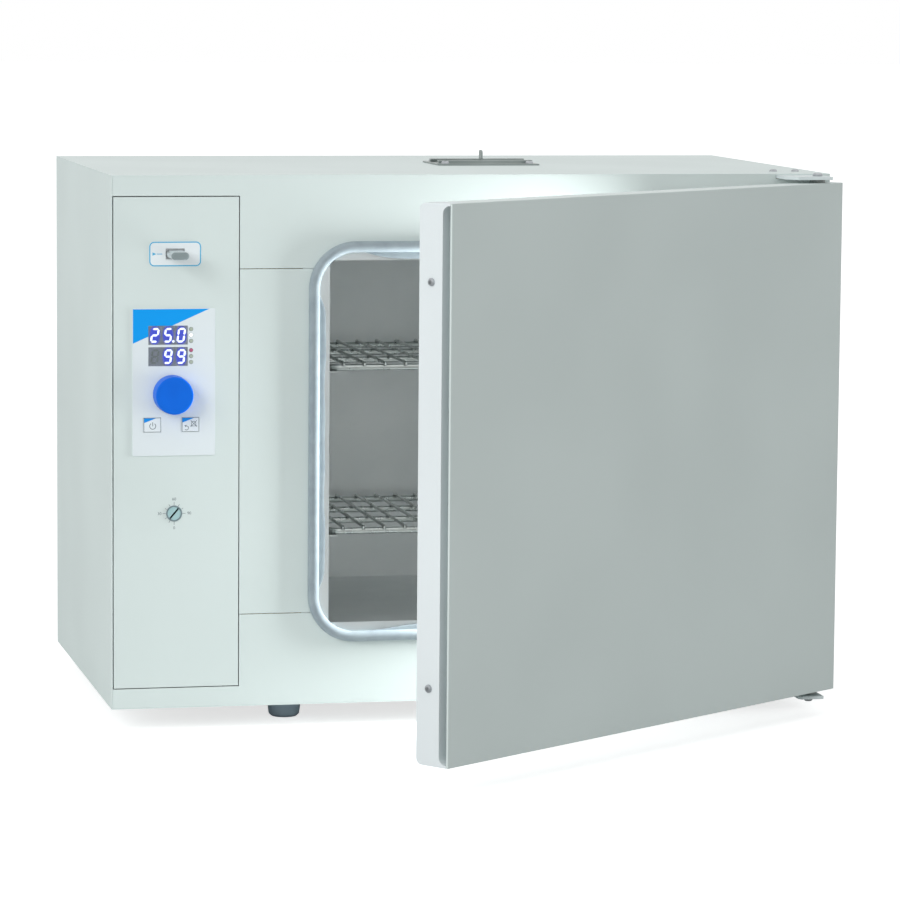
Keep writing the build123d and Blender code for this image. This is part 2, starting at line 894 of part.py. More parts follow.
def control_knob():
    """A plain drum knob, a little narrower at its face, bored for the shaft."""
    x, z = knob_x, base + knob_z
    rear = -overlay_thickness - knob_gap
    profile = Polyline(
        (0, 0),
        (knob_radius, 0),
        (knob_radius - knob_skirt_taper, knob_depth),
        (0, knob_depth),
        close=True,
    )
    face = make_face(profile)
    corner = face.vertices().sort_by(Axis.Y)[-2:].sort_by(Axis.X)[-1]
    face = chamfer(corner, knob_edge_radius)
    drum = revolve(face, axis=Axis.Y)
    drum = Pos(x, rear, z) * Rot(180, 0, 0) * drum
    bore = rod_y(x, z, shaft_radius, knob_front() + 4.0, rear + 1)
    flat = block(
        x - shaft_radius,
        x + shaft_radius,
        knob_front() + 4.0,
        rear - 1.0,
        z + shaft_radius - shaft_flat,
        z + shaft_radius + 1,
    )
    return drum - (bore - flat)


def membrane_key(x):
    """A key cap that moves in its cut-out in the membrane."""
    front = -overlay_thickness - 0.2
    cap = front_plate(
        RectangleRounded(key_width, key_height, 0.8), x, base + key_z, front, front + key_thickness
    )
    return cap


def key_switches():
    """The switches behind the keys, with their plungers just clear of the caps."""
    gap = key_travel + 0.1
    cap_back = -overlay_thickness - 0.2 + key_thickness
    switches = []
    for x in (power_key_x, mute_key_x):
        z = base + key_z
        case = front_plate(Rectangle(6.0, 6.0), x, z, board_front() - 4.0, board_front())
        switches.append(case + rod_y(x, z, plunger_radius, cap_back + gap, board_front() - 4.0))
    return switches


def safety_thermostat():
    """The safety thermostat behind the panel, with its bezel ring through the hole."""
    x, z = dial_x, base + dial_z
    size = thermostat_size
    body = front_plate(RectangleRounded(size, size, 3.0), x, z, sheet, sheet + thermostat_depth)
    bezel = rod_y(x, z, dial_bezel_radius, -dial_bezel_proud, 0)
    bezel += rod_y(x, z, dial_radius + 0.95, 0, sheet)
    well = rod_y(x, z, dial_radius + dial_clearance, -dial_bezel_proud - 1, sheet + dial_thickness)
    bore = rod_y(x, z, shaft_radius + shaft_running_clearance, 0, sheet + dial_thickness + 10.0)
    return body + bezel - well - bore


def thermostat_dial():
    """The adjusting disc with a screwdriver slot, on its spindle."""
    x, z = dial_x, base + dial_z
    front = -dial_bezel_proud + 0.2
    disc = rod_y(x, z, dial_radius, front, front + dial_thickness)
    slot = Rot(0, 0, 50) * Rectangle(2 * dial_radius + 1, dial_slot_width)
    disc -= front_plate(slot, x, z, front - 1, front + dial_slot_depth)
    return disc + rod_y(x, z, shaft_radius, front + dial_thickness, sheet + dial_thickness + 9.0)


def usb_label():
    """The rounded label round the socket's mouth."""
    outline = RectangleRounded(usb_label_width, usb_label_height, usb_label_radius)
    outline -= Rectangle(usb_mouth_width, usb_mouth_height)
    return front_plate(outline, usb_x, base + usb_z, -usb_label_thickness, 0)


def usb_socket():
    """The socket behind the panel, bored for the plug."""
    x, z = usb_x, base + usb_z
    width = usb_plug_width + 2 * (usb_plug_clearance + usb_socket_wall)
    height = usb_plug_height + 2 * (usb_plug_clearance + usb_socket_wall)
    back = usb_socket_setback + usb_plug_length + 3.0
    body = front_plate(Rectangle(width, height), x, z, usb_socket_setback, back)
    flange = Rectangle(usb_mouth_width + 10.0, usb_mouth_height + 8.0)
    body += front_plate(flange, x, z, sheet, sheet + 1.5)
    bore = Rectangle(usb_plug_width + 2 * usb_plug_clearance, usb_plug_height + 2 * usb_plug_clearance)
    return body - front_plate(bore, x, z, 0, usb_socket_setback + usb_plug_length + 0.5)


def usb_drive():
    """A flash drive: a smooth slim body with rounded ends, and the plug's metal shell."""
    x, z = usb_x, base + usb_z
    rear = usb_socket_setback - 0.4
    outline = RectangleRounded(drive_width, drive_height, drive_end_radius)
    body = front_plate(outline, x, z, rear - drive_length, rear)
    body = chamfer(body.faces().sort_by(Axis.Y)[0].edges(), 1.2)
    plug = Rectangle(usb_plug_width, usb_plug_height)
    return body + front_plate(plug, x, z, rear, rear + usb_plug_length)


def solid_state_relay():
    """The heaters' relay, on the bay's side of the bulkhead."""
    x = bay_width + bulkhead_gap
    y = cabinet_depth / 2
    z = base + cabinet_height * 0.3
    low = block(x - relay_depth, x, y - relay_length / 2, y + relay_length / 2, z, z + relay_width)
    return fillet(low.edges().filter_by(Axis.Z).sort_by(Axis.X)[:2], 3.0)


def mains_inlet():
    """A three-pin appliance inlet in the rear cover, open to the back."""
    x, z = inlet_x, base + inlet_z
    rear = cabinet_depth + inlet_flange
    body = front_plate(
        Rectangle(inlet_width - 0.4, inlet_height - 0.4), x, z, cabinet_depth - inlet_depth, cabinet_depth
    )
    body += front_plate(
        RectangleRounded(inlet_flange_width, inlet_flange_height, 3.0), x, z, cabinet_depth, rear
    )
    cavity = Rectangle(inlet_width - 3.4, inlet_height - 3.6)
    body -= front_plate(cavity, x, z, rear - inlet_cavity_depth, rear + 1)
    for dx, dz in ((-inlet_pin_spacing / 2, -2.0), (0, 2.0), (inlet_pin_spacing / 2, -2.0)):
        pin = Rectangle(inlet_pin_width, inlet_pin_height)
        body += front_plate(pin, x + dx, z + dz, rear - inlet_cavity_depth, rear - 3.0)
    return body


# Feet


def feet():
    """Tapered rubber feet with a rounded tread, recessed for their screws."""
    pads = []
    for x, y in foot_places():
        profile = Polyline((0, 0), (foot_bottom_radius, 0), (foot_radius, base), (0, base), close=True)
        face = make_face(profile)
        tread = face.vertices().sort_by(Axis.Y)[:2].sort_by(Axis.X)[-1]
        face = chamfer(tread, foot_round)
        pad = Pos(x, y, 0) * Rot(90, 0, 0) * revolve(face, axis=Axis.Y)
        pad -= rod_z(x, y, 7.0, -1, base - 8.0)
        pads.append(pad - rod_z(x, y, foot_screw_radius, base - 9.0, base + 1))
    return pads


def foot_screws():
    """Hexagon head screws that hold the feet, up through the base pan."""
    screws = []
    for x, y in foot_places():
        head = extrude(RegularPolygon(5.5, 6), 4.0)
        shank = extrude(Pos(0, 0, 4.0) * RegularPolygon(foot_screw_radius, 8), 14.0 + sheet)
        screws.append(Pos(x, y, base - 12.0) * (head + shank))
    return screws


# Hinge


def pivot_plate(left, chamfer_length, z0, z1):
    """A flat plate from under the casing's edge out to the door's pivot, one corner cut off."""
    right = pivot_x + hinge_plate_right
    front = pivot_y - hinge_plate_front
    plate = block(pivot_x - left, right, front, hinge_plate_rear, z0, z1)
    corners = plate.edges().filter_by(Axis.Z).sort_by(Axis.Y)[:2]
    plate = chamfer(corners.sort_by(Axis.X)[0], chamfer_length)
    for x, y in plate_screws_at(left):
        plate -= rod_z(x, y, plate_screw_radius, z0 - 1, z1 + 1)
    return plate - rod_z(pivot_x, pivot_y, pin_radius, z0 - 1, z1 + 1)


def top_hinge_plate():
    return pivot_plate(top_plate_left, hinge_plate_chamfer, roof_under - hinge_plate, roof_under)


def bottom_hinge_plate():
    return pivot_plate(bottom_plate_left, hinge_plate_chamfer / 3, base - hinge_plate, base)


def hinge_plate_screws():
    """Screws through each pivot plate into the casing."""
    screws = []
    top = base + cabinet_height
    reach = sheet + hinge_plate + 5.0
    for x, y in plate_screws_at(top_plate_left):
        seat = Plane((x, y, top))
        screws.append(pan_screw(seat, plate_screw_head, 2.0, plate_screw_radius, reach))
    for x, y in plate_screws_at(bottom_plate_left):
        seat = Plane(origin=(x, y, base - hinge_plate), z_dir=(0, 0, -1))
        screws.append(pan_screw(seat, plate_screw_head, 2.0, plate_screw_radius, reach))
    return screws


def top_hinge_pin():
    """A shoulder screw down through the top plate into the door's bush."""
    seat = Plane((pivot_x, pivot_y, roof_under))
    reach = roof_under - door_top + pin_reach
    return headed(seat, pin_head_radius, pin_head_height, Circle(pin_radius), reach)


def bottom_hinge_pin():
    """A headed pin up through the bottom plate into the door's bush."""
    seat = Plane(origin=(pivot_x, pivot_y, base - hinge_plate), z_dir=(0, 0, -1))
    reach = door_bottom - base + hinge_plate + pin_reach
    return headed(seat, pin_head_radius, 1.5 * pin_head_height, Circle(pin_radius), reach)


# Door, drawn shut


def door_skin():
    """The outer pan: front sheet, flanges on three sides and a folded hem at the free edge."""
    t = door_skin_sheet
    rear = door_front + door_pan_depth
    outer = block(door_left, door_right, door_front, rear, door_bottom, door_top)
    hinge_edges = outer.edges().filter_by(Axis.Z).sort_by(Axis.X)[-2:].sort_by(Axis.Y)[0]
    outer = fillet(hinge_edges, door_corner_radius)
    inner = block(door_left - 1, door_right - t, door_front + t, rear + 1, door_bottom + t, door_top - t)
    pan_body = outer - inner
    beside_rail = block(
        door_left - 1,
        door_left + rail_width,
        door_front + hem_thickness,
        rear + 1,
        door_bottom - 1,
        door_top + 1,
    )
    hem_right = door_left + groove_depth
    hem = block(door_left, hem_right, door_front + t, door_front + hem_thickness, door_bottom, door_top)
    pan_body = pan_body - beside_rail + hem
    for z0, z1 in ((door_bottom - 1, door_bottom + 2 * t), (door_top - 2 * t, door_top + 1)):
        pan_body -= rod_z(pivot_x, pivot_y, bush_radius, z0, z1)
    return pan_body


def groove_front():
    return door_front + hem_thickness


def door_grip_rail():
    """The white edge rail, with the finger groove down its front side and scooped groove ends."""
    front = groove_front()
    body = block(door_left, door_left + rail_width, front, door_rear, door_bottom, door_top)
    rear_corners = body.edges().filter_by(Axis.X).sort_by(Axis.Y)[-2:]
    body = fillet(rear_corners, rail_corner_radius)
    low = door_bottom + groove_end_margin
    high = door_top - groove_end_margin
    groove = block(
        door_left - 1, door_left + groove_depth, front - 1, front + groove_width, low, high
    )
    scooped = groove.edges().filter_by(Axis.X).sort_by(Axis.Y)[-2:]
    groove = fillet(scooped, groove_end_radius)
    body -= groove
    for z in rail_screw_heights():
        body -= rod_x(rail_screw_y(), z, 2.0, door_left - 1, door_left + rail_width + 1)
    for z in magnet_heights():
        body -= magnet_at(z)
    return body


def rail_screw_y():
    return (groove_front() + groove_width + door_rear) / 2 - 1.0


def rail_screw_heights():
    return (door_mid_z - rail_screw_spacing / 2, door_mid_z + rail_screw_spacing / 2)


def grip_rail_screws():
    """Pan head screws through the rail into the door's core."""
    screws = []
    for z in rail_screw_heights():
        seat = Plane(origin=(door_left, rail_screw_y(), z), z_dir=(-1, 0, 0))
        screws.append(pan_screw(seat, 3.6, 2.2, 2.0, rail_width + 8.0))
    return screws


def magnet_heights():
    return (door_mid_z - magnet_spacing / 2, door_mid_z + magnet_spacing / 2)


def magnet_at(z):
    x = door_left + rail_width / 2
    half_x, half_z = magnet_width / 2, magnet_length / 2
    return block(x - half_x, x + half_x, door_rear - magnet_thickness, door_rear, z - half_z, z + half_z)


def door_magnets():
    return [magnet_at(z) for z in magnet_heights()]


def liner_rear():
    return door_rear - liner_setback


def liner_right():
    """The liner stops where it still swings clear of the fascia."""
    reach = -pivot_y - 0.9
    depth = liner_rear() - pivot_y
    return pivot_x + sqrt(reach**2 - depth**2) - 0.5


def door_liner():
    """The inner pan: a flat stainless face with its edges folded into the outer pan."""
    t = liner_sheet
    rear = liner_rear()
    front = door_front + door_pan_depth - 10.0
    left = door_left + rail_width
    low = door_bottom + liner_edge_margin
    high = door_top - liner_edge_margin
    outer = block(left, liner_right(), front, rear, low, high)
    outer = fillet(outer.edges().filter_by(Axis.Z).sort_by(Axis.X)[-2:].sort_by(Axis.Y)[-1], 2.5)
    inner = block(left + t, liner_right() - t, front - 1, rear - t, low + t, high - t)
    body = outer - inner
    for z0, z1 in ((low - 1, low + 2 * t), (high - 2 * t, high + 1)):
        body -= rod_z(pivot_x, pivot_y, bush_radius + 0.3, z0, z1)
    for z in rail_screw_heights():
        body -= rod_x(rail_screw_y(), z, 2.2, left - 1, left + 2 * t)
    return body


def door_insulation():
    """The board that fills the door between its pans."""
    left = door_left + rail_width + liner_sheet + flat_gap
    right = pivot_x - hinge_block_size / 2 - flat_gap
    edge = liner_edge_margin + liner_sheet + flat_gap
    body = block(
        left,
        right,
        door_front + door_skin_sheet,
        liner_rear() - liner_sheet,
        door_bottom + edge,
        door_top - edge,
    )
    for z in rail_screw_heights():
        body -= rod_x(rail_screw_y(), z, 3.0, left - 1, door_left + rail_width + 9.0)
    return body


def hinge_block_y():
    """Front and rear of the steel blocks in the door's corners."""
    front = door_front + door_skin_sheet
    return (front, liner_rear() - liner_sheet - flat_gap)


def door_hinge_blocks():
    """Steel blocks welded in the skin's hinge corners, bored for the bushes."""
    blocks = []
    half = hinge_block_size / 2
    front, rear = hinge_block_y()
    edge = liner_edge_margin + liner_sheet + flat_gap
    right = min(pivot_x + half, liner_right() - liner_sheet - flat_gap)
    for z0, z1 in (
        (door_bottom + edge, door_bottom + edge + hinge_block_height),
        (door_top - edge - hinge_block_height, door_top - edge),
    ):
        body = block(pivot_x - half, right, front, rear, z0, z1)
        blocks.append(body - rod_z(pivot_x, pivot_y, bush_radius, z0 - 1, z1 + 1))
    return blocks


def door_bushes():
    """Flanged bushes in the door's ends; the lower flange carries the door on its plate."""
    bore = pin_radius + pin_running_clearance
    bottom_flange = door_bottom - base - bush_float
    top_flange = roof_under - hinge_plate - door_top - bush_float
    bottom = rod_z(pivot_x, pivot_y, bush_radius, door_bottom, door_bottom + bush_length)
    bottom += rod_z(pivot_x, pivot_y, bush_flange_radius, door_bottom - bottom_flange, door_bottom)
    bottom -= rod_z(pivot_x, pivot_y, bore, base - 1, door_bottom + bush_length + 1)
    top = rod_z(pivot_x, pivot_y, bush_radius, door_top - bush_length, door_top)
    top += rod_z(pivot_x, pivot_y, bush_flange_radius, door_top, door_top + top_flange)
    top -= rod_z(pivot_x, pivot_y, bore, door_top - bush_length - 1, roof_under)
    return [bottom, top]


root_pieces = {
    "base_pan": base_pan,
    "top_cover": top_cover,
    "left_side_panel": lambda: side_panel(0),
    "right_side_panel": lambda: side_panel(inner_right),
    "rear_cover": rear_cover,
    "cover_screws": cover_screws,
    "front_top_rail": front_top_rail,
    "front_bottom_rail": front_bottom_rail,
    "front_left_stile": lambda: front_stile(bay_width, chamber_x),
    "front_right_stile": lambda: front_stile(chamber_x, inner_right),
    "control_panel": control_panel,
    "bay_bulkhead": bay_bulkhead,
    "inner_chamber": inner_chamber,
    "insulation_jacket": insulation_jacket,
    "heating_elements": heating_elements,
    "heater_brackets": heater_brackets,
    "chimney_tube": chimney_tube,
    "temperature_probe": temperature_probe,
    "door_gasket": door_gasket,
    "shelf_racks": shelf_racks,
    "vent_frame": vent_frame,
    "vent_screws": vent_screws,
    "control_overlay": control_overlay,
    "display_windows": display_windows,
    "display_modules": display_modules,
    "status_lamps": status_lamps,
    "controller_board": controller_board,
    "board_standoffs": board_standoffs,
    "rotary_encoder": rotary_encoder,
    "key_switches": key_switches,
    "safety_thermostat": safety_thermostat,
    "usb_label": usb_label,
    "usb_socket": usb_socket,
    "solid_state_relay": solid_state_relay,
    "mains_inlet": mains_inlet,
    "feet": feet,
    "foot_screws": foot_screws,
    "top_hinge_plate": top_hinge_plate,
    "bottom_hinge_plate": bottom_hinge_plate,
    "hinge_plate_screws": hinge_plate_screws,
    "top_hinge_pin": top_hinge_pin,
    "bottom_hinge_pin": bottom_hinge_pin,
}
moving_pieces = {
    "upper_shelf": lambda: shelf(1),
    "lower_shelf": lambda: shelf(0),
    "vent_slider": vent_slider,
    "encoder_shaft": encoder_shaft,
    "control_knob": control_knob,
    "power_key": lambda: membrane_key(power_key_x),
    "mute_key": lambda: membrane_key(mute_key_x),
    "thermostat_dial": thermostat_dial,
    "usb_drive": usb_drive,
}
door_pieces = {
    "door_skin": door_skin,
    "door_liner": door_liner,
    "door_insulation": door_insulation,
    "door_grip_rail": door_grip_rail,
    "grip_rail_screws": grip_rail_screws,
    "door_hinge_blocks": door_hinge_blocks,
    "door_bushes": door_bushes,
    "door_magnets": door_magnets,
}


def ajar():
    """Turns the shut door about its pivot to where it stands at rest."""
    return Pos(pivot_x, pivot_y, 0) * Rot(0, 0, door_ajar_angle) * Pos(-pivot_x, -pivot_y, 0)


def swung(x, y):
    """Where a point of the shut door is when the door stands ajar."""
    angle = radians(door_ajar_angle)
    dx, dy = x - pivot_x, y - pivot_y
    return (pivot_x + dx * cos(angle) - dy * sin(angle), pivot_y + dx * sin(angle) + dy * cos(angle))


def to_origin():
    """Moves the model so that its origin is under the middle of its outer box, on the bench."""
    round_centre = swung(door_right - door_corner_radius, door_front + door_corner_radius)
    right = max(cabinet_width, round_centre[0] + door_corner_radius)
    front = swung(door_left, door_front)[1]
    rear = cabinet_depth + inlet_flange
    return Pos(-right / 2, -(front + rear) / 2, 0)


def write(name, made, place):
    """Writes one node, which is one solid or a group of like solids."""
    pieces = made if isinstance(made, list) else [made]
    solids = [solid for piece in pieces for solid in (place * piece).solids()]
    node = solids[0] if len(solids) == 1 else Compound(children=solids)
    node.label = name
    export_step(node, f"parts/{name}.step")


os.makedirs("parts", exist_ok=True)
home = to_origin()
for name, make in {**root_pieces, **moving_pieces}.items():
    write(name, make(), home)
for name, make in door_pieces.items():
    write(name, make(), home * ajar())
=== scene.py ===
import json
from math import cos, pi, radians, sin, sqrt

import bmesh
import bpy
from mathutils import Matrix, Vector


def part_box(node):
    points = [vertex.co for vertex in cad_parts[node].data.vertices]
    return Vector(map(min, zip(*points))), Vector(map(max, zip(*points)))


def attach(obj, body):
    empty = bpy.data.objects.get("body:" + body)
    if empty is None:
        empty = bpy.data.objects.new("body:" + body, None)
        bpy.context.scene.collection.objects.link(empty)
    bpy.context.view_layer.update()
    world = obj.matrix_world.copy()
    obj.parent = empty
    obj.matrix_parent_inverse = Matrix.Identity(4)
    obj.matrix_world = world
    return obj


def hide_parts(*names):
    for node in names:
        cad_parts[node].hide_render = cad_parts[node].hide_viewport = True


# Looks for a bench hot air sterilizer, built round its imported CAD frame.
# Sizes and places in the dictionaries are millimetres and angles are degrees; only the floor, the lamps
# and the camera's far limit are in metres, and lamp power is in watts.

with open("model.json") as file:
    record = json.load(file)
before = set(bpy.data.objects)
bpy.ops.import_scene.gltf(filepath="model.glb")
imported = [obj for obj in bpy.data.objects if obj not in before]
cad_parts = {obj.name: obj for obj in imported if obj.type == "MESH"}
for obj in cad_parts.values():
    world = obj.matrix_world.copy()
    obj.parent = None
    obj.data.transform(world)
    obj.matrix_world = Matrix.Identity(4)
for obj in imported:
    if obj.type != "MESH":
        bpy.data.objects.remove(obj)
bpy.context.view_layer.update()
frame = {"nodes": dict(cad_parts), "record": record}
mm = 0.001
bodyOf = {node: body for body, nodes in frame["record"]["behaviour"]["bodies"].items() for node in nodes}
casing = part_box("left_side_panel")[0]
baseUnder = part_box("base_pan")[0].z


def spot(x, y, z):
    # millimetres from the casing's front left edge and the underside of its base
    return Vector((casing.x + x * mm, casing.y + y * mm, baseUnder + z * mm))


def middle(node):
    low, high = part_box(node)
    return (low + high) / 2


# Materials


def linear(hexColour):
    values = [int(hexColour[i:i + 2], 16) / 255 for i in (1, 3, 5)]
    return tuple(v / 12.92 if v <= 0.04045 else ((v + 0.055) / 1.055) ** 2.4 for v in values) + (1.0,)


def addNode(material, kind, settings=None, inputs=None):
    node = material.node_tree.nodes.new(kind)
    for name, value in (settings or {}).items():
        setattr(node, name, value)
    for name, value in (inputs or {}).items():
        if isinstance(value, bpy.types.NodeSocket):
            material.node_tree.links.new(value, node.inputs[name])
        else:
            node.inputs[name].default_value = value
    return node


def startMaterial(name, **inputs):
    # a cleared material with a Principled shader joined to its output
    material = bpy.data.materials.new(name)
    material.use_nodes = True
    material.node_tree.nodes.clear()
    inputs = {socket.replace("_", " "): value for socket, value in inputs.items()}
    shader = addNode(material, "ShaderNodeBsdfPrincipled", inputs=inputs)
    addNode(material, "ShaderNodeOutputMaterial", inputs={"Surface": shader.outputs["BSDF"]})
    return material, shader


def objectPlace(material, stretch=(1, 1, 1)):
    # Object coordinates in metres, stretched along an axis where the real marks run that way
    place = addNode(material, "ShaderNodeTexCoord").outputs["Object"]
    return addNode(material, "ShaderNodeMapping", inputs={"Vector": place, "Scale": stretch}).outputs["Vector"]


# the share of a noise's range that colours and values are spread over
noiseRange = {"colour": (0.35, 0.65), "value": (0.3, 0.7)}


def speckle(material, size, detail=2.0, stretch=(1, 1, 1)):
    # soft noise whose grains are about the given size in millimetres
    place = objectPlace(material, stretch)
    inputs = {"Vector": place, "Scale": 1 / (size * mm), "Detail": detail, "Roughness": 0.55}
    return addNode(material, "ShaderNodeTexNoise", inputs=inputs).outputs["Fac"]


def mixColours(material, factor, first, second):
    mix = addNode(material, "ShaderNodeMix", {"data_type": "RGBA"}, {"Factor": factor})
    mix.inputs["A"].default_value = linear(first)
    mix.inputs["B"].default_value = linear(second)
    return mix.outputs["Result"]


def blendColour(material, factor, dark, light):
    # a colour that drifts between two near tones
    low, high = noiseRange["colour"]
    ramp = addNode(material, "ShaderNodeMapRange", inputs={"Value": factor, "From Min": low, "From Max": high})
    return mixColours(material, ramp.outputs["Result"], dark, light)


def spread(material, factor, least, most):
    # noise turned into a value between two limits
    low, high = noiseRange["value"]
    inputs = {"Value": factor, "From Min": low, "From Max": high, "To Min": least, "To Max": most}
    return addNode(material, "ShaderNodeMapRange", inputs=inputs).outputs["Result"]


def bump(material, height, depth, strength):
    inputs = {"Height": height, "Distance": depth * mm, "Strength": strength}
    return addNode(material, "ShaderNodeBump", inputs=inputs).outputs["Normal"]


def join(material, shader, **sockets):
    for name, socket in sockets.items():
        material.node_tree.links.new(socket, shader.inputs[name.replace("_", " ")])


def powderCoat(name, dark, light, grain, depth, roughness=0.46):
    # Polyester powder coat, sprayed and baked: an even satin skin with a fine orange peel.
    # The real peel is under a millimetre, so it is drawn a little coarser to show.
    material, shader = startMaterial(name, IOR=1.5)
    peel = speckle(material, grain, 3.0)
    drift = speckle(material, 160.0, 1.0)
    join(
        material,
        shader,
        Base_Color=blendColour(material, drift, dark, light),
        Roughness=spread(material, peel, roughness - 0.05, roughness + 0.07),
        Normal=bump(material, peel, depth, 0.55),
    )
    return material


def rolledStainless(name, dark, light, roughness, stretch, line=0.5):
    # Stainless sheet, cold rolled and brushed one way: bright, with hair-thin lines along the roll.
    # The lines are drawn about half a millimetre wide, since real ones are too fine to show.
    material, shader = startMaterial(name, Metallic=1.0)
    lines = speckle(material, line, 4.0, stretch)
    cloud = speckle(material, 70.0, 2.0)
    join(
        material,
        shader,
        Base_Color=blendColour(material, cloud, dark, light),
        Roughness=spread(material, lines, roughness - 0.05, roughness + 0.08),
        Normal=bump(material, lines, 0.02, 0.35),
    )
    return material


def platedSteel(name, dark, light, roughness, grain=3.0):
    # Zinc on steel, dipped or plated: grey, with faint patches where the zinc set.
    material, shader = startMaterial(name, Metallic=1.0)
    patches = speckle(material, grain, 2.0)
    join(
        material,
        shader,
        Base_Color=blendColour(material, patches, dark, light),
        Roughness=spread(material, patches, roughness - 0.06, roughness + 0.06),
        Normal=bump(material, patches, 0.02, 0.3),
    )
    return material


def mouldedPlastic(name, dark, light, roughness, grain=0.8, depth=0.03):
    # Injection moulded plastic with a fine spark-eroded grain from the tool.
    material, shader = startMaterial(name, IOR=1.49, Specular_IOR_Level=0.25)
    grains = speckle(material, grain, 2.0)
    drift = speckle(material, 25.0, 1.0)
    join(
        material,
        shader,
        Base_Color=blendColour(material, drift, dark, light),
        Roughness=spread(material, grains, roughness - 0.04, roughness + 0.05),
        Normal=bump(material, grains, depth, 0.4),
    )
    return material


def siliconeRubber():
    # Extruded silicone: matt and slightly waxy, with draw lines and a dusting of talc.
    material, shader = startMaterial(
        "extrudedSilicone",
        IOR=1.41,
        Subsurface_Weight=0.12,
        Subsurface_Radius=(0.004, 0.004, 0.005),
        Subsurface_Scale=0.4,
    )
    talc = speckle(material, 14.0, 3.0)
    grain = speckle(material, 1.1, 2.0)
    join(
        material,
        shader,
        Base_Color=blendColour(material, talc, "#8D9AA1", "#98A5AB"),
        Roughness=spread(material, talc, 0.42, 0.6),
        Normal=bump(material, grain, 0.05, 0.4),
    )
    return material


def mineralWool(name):
    # Spun mineral wool: tangled fibres, drawn as coarse streaks a couple of millimetres long.
    material, shader = startMaterial(name, Roughness=0.95)
    fibres = speckle(material, 2.2, 6.0, (1, 0.35, 1))
    join(
        material,
        shader,
        Base_Color=blendColour(material, fibres, "#A9955C", "#DCCB92"),
        Normal=bump(material, fibres, 1.2, 0.9),
    )
    return material


def printedFilm(name, colour, roughness=0.32):
    # Screen-printed polyester film: a flat even colour under a fine matt grain.
    material, shader = startMaterial(name, IOR=1.57, Specular_IOR_Level=0.2)
    grain = speckle(material, 0.7, 2.0)
    join(
        material,
        shader,
        Base_Color=blendColour(material, grain, colour, colour),
        Roughness=spread(material, grain, roughness - 0.03, roughness + 0.05),
        Normal=bump(material, grain, 0.015, 0.3),
    )
    return material


def litResin(name, colour, glow, strength):
    # Diffusing epoxy over a light-emitting die.
    return startMaterial(
        name,
        IOR=1.52,
        Roughness=0.3,
        Base_Color=linear(colour),
        Emission_Color=linear(glow),
        Emission_Strength=strength,
    )[0]


def clearFilm():
    # Polyester film, polished on both faces, so only its glints are seen.
    return startMaterial(
        "clearPolyesterWindow",
        IOR=1.5,
        Roughness=0.06,
        Base_Color=linear("#F6F8FF"),
        Transmission_Weight=1.0,
    )[0]


casingCoat = powderCoat("powderCoatCasing", "#D1DDDB", "#D5E1DF", 1.4, 0.06)
# The door's coat is the casing's paint set a little darker: painted shade for the door front turned away from the
# key light.
doorCoat = powderCoat("powderCoatDoor", "#CFDAD8", "#D3DEDC", 1.4, 0.06)
railCoat = powderCoat("texturedPowderCoatWhite", "#DDE4E6", "#E3EAEC", 1.6, 0.2, 0.6)
plateCoat = powderCoat("powderCoatWhite", "#D2DCDD", "#D8E2E3", 1.3, 0.05)
# The chamber's stainless is set near white, brighter than real stainless: partly the steel's own colour, partly
# painted light standing in for the light that fills the chamber.
chamberSteel = rolledStainless("rolledStainlessChamber", "#EDF2F2", "#F2F6F6", 0.5, (0.03, 1, 1))
linerSteel = rolledStainless("rolledStainlessLiner", "#CFCFCD", "#DADAD8", 0.3, (0.03, 1, 1))
ventSteel = rolledStainless("brushedStainlessVent", "#8F9896", "#9DA6A4", 0.34, (0.03, 1, 1), 0.7)
wireSteel = platedSteel("electropolishedWire", "#C3CAC8", "#D0D6D3", 0.3, 9.0)
zincSteel = platedSteel("zincPlatedSteel", "#A9ADB1", "#BDC1C4", 0.34)
galvanised = platedSteel("hotDipGalvanised", "#9AA0A3", "#B9BEC0", 0.45, 8.0)
silicone = siliconeRubber()
wool = mineralWool("spunMineralWool")
# The feet's rubber is set lighter than its real grey: painted light making up for the shade under the cabinet.
footRubber = mouldedPlastic("mouldedRubberFoot", "#9FB1BF", "#A9BAC7", 0.62, 0.9, 0.05)
knobPlastic = mouldedPlastic("mouldedAbsBlue", "#0066DC", "#006CE4", 0.42, 0.7, 0.02)
blackPlastic = mouldedPlastic("mouldedNylonBlack", "#17181A", "#1E1F22", 0.5)
greyPlastic = mouldedPlastic("mouldedPolycarbonateGrey", "#74858A", "#7E8F94", 0.42)
dialPlastic = mouldedPlastic("mouldedAcetalPale", "#9CBFC2", "#A9C9CB", 0.3)
boardResin = mouldedPlastic("solderResistGreen", "#0D4A26", "#12552C", 0.35, 5.0, 0.05)
sintered = platedSteel("sinteredSteelBush", "#8D9290", "#9CA19F", 0.5, 0.6)
ferrite = platedSteel("sinteredFerrite", "#2E2B2B", "#393636", 0.6, 1.0)
driveShell = rolledStainless("satinAluminiumShell", "#C3C9C9", "#D2D8D8", 0.3, (1, 0.05, 1), 0.6)
driveCap = mouldedPlastic("mouldedCapGrey", "#7F8C8E", "#8A9799", 0.4)
filmPale = printedFilm("printedFilmPale", "#DEE7EA")
filmWhite = printedFilm("printedFilmWhite", "#E4ECEF")
inkBlue = printedFilm("printedInkBlue", "#009CF0")
inkKeyBlue = printedFilm("printedInkKeyBlue", "#128FE6")
inkGrey = printedFilm("printedInkGrey", "#6F7C82")
inkLabel = printedFilm("printedInkLabelBlue", "#4FAFD8")
print("materials ready")


# Ways of making pieces


softMake = {"flat": 0.5, "sharp": 28, "segments": 2, "smooth": 40}


def newPiece(name, mesh, material, body, replaces=()):
    bmesh.ops.recalc_face_normals(mesh, faces=mesh.faces)
    data = bpy.data.meshes.new(name)
    mesh.to_mesh(data)
    mesh.free()
    return dressPiece(name, data, material, body, replaces)


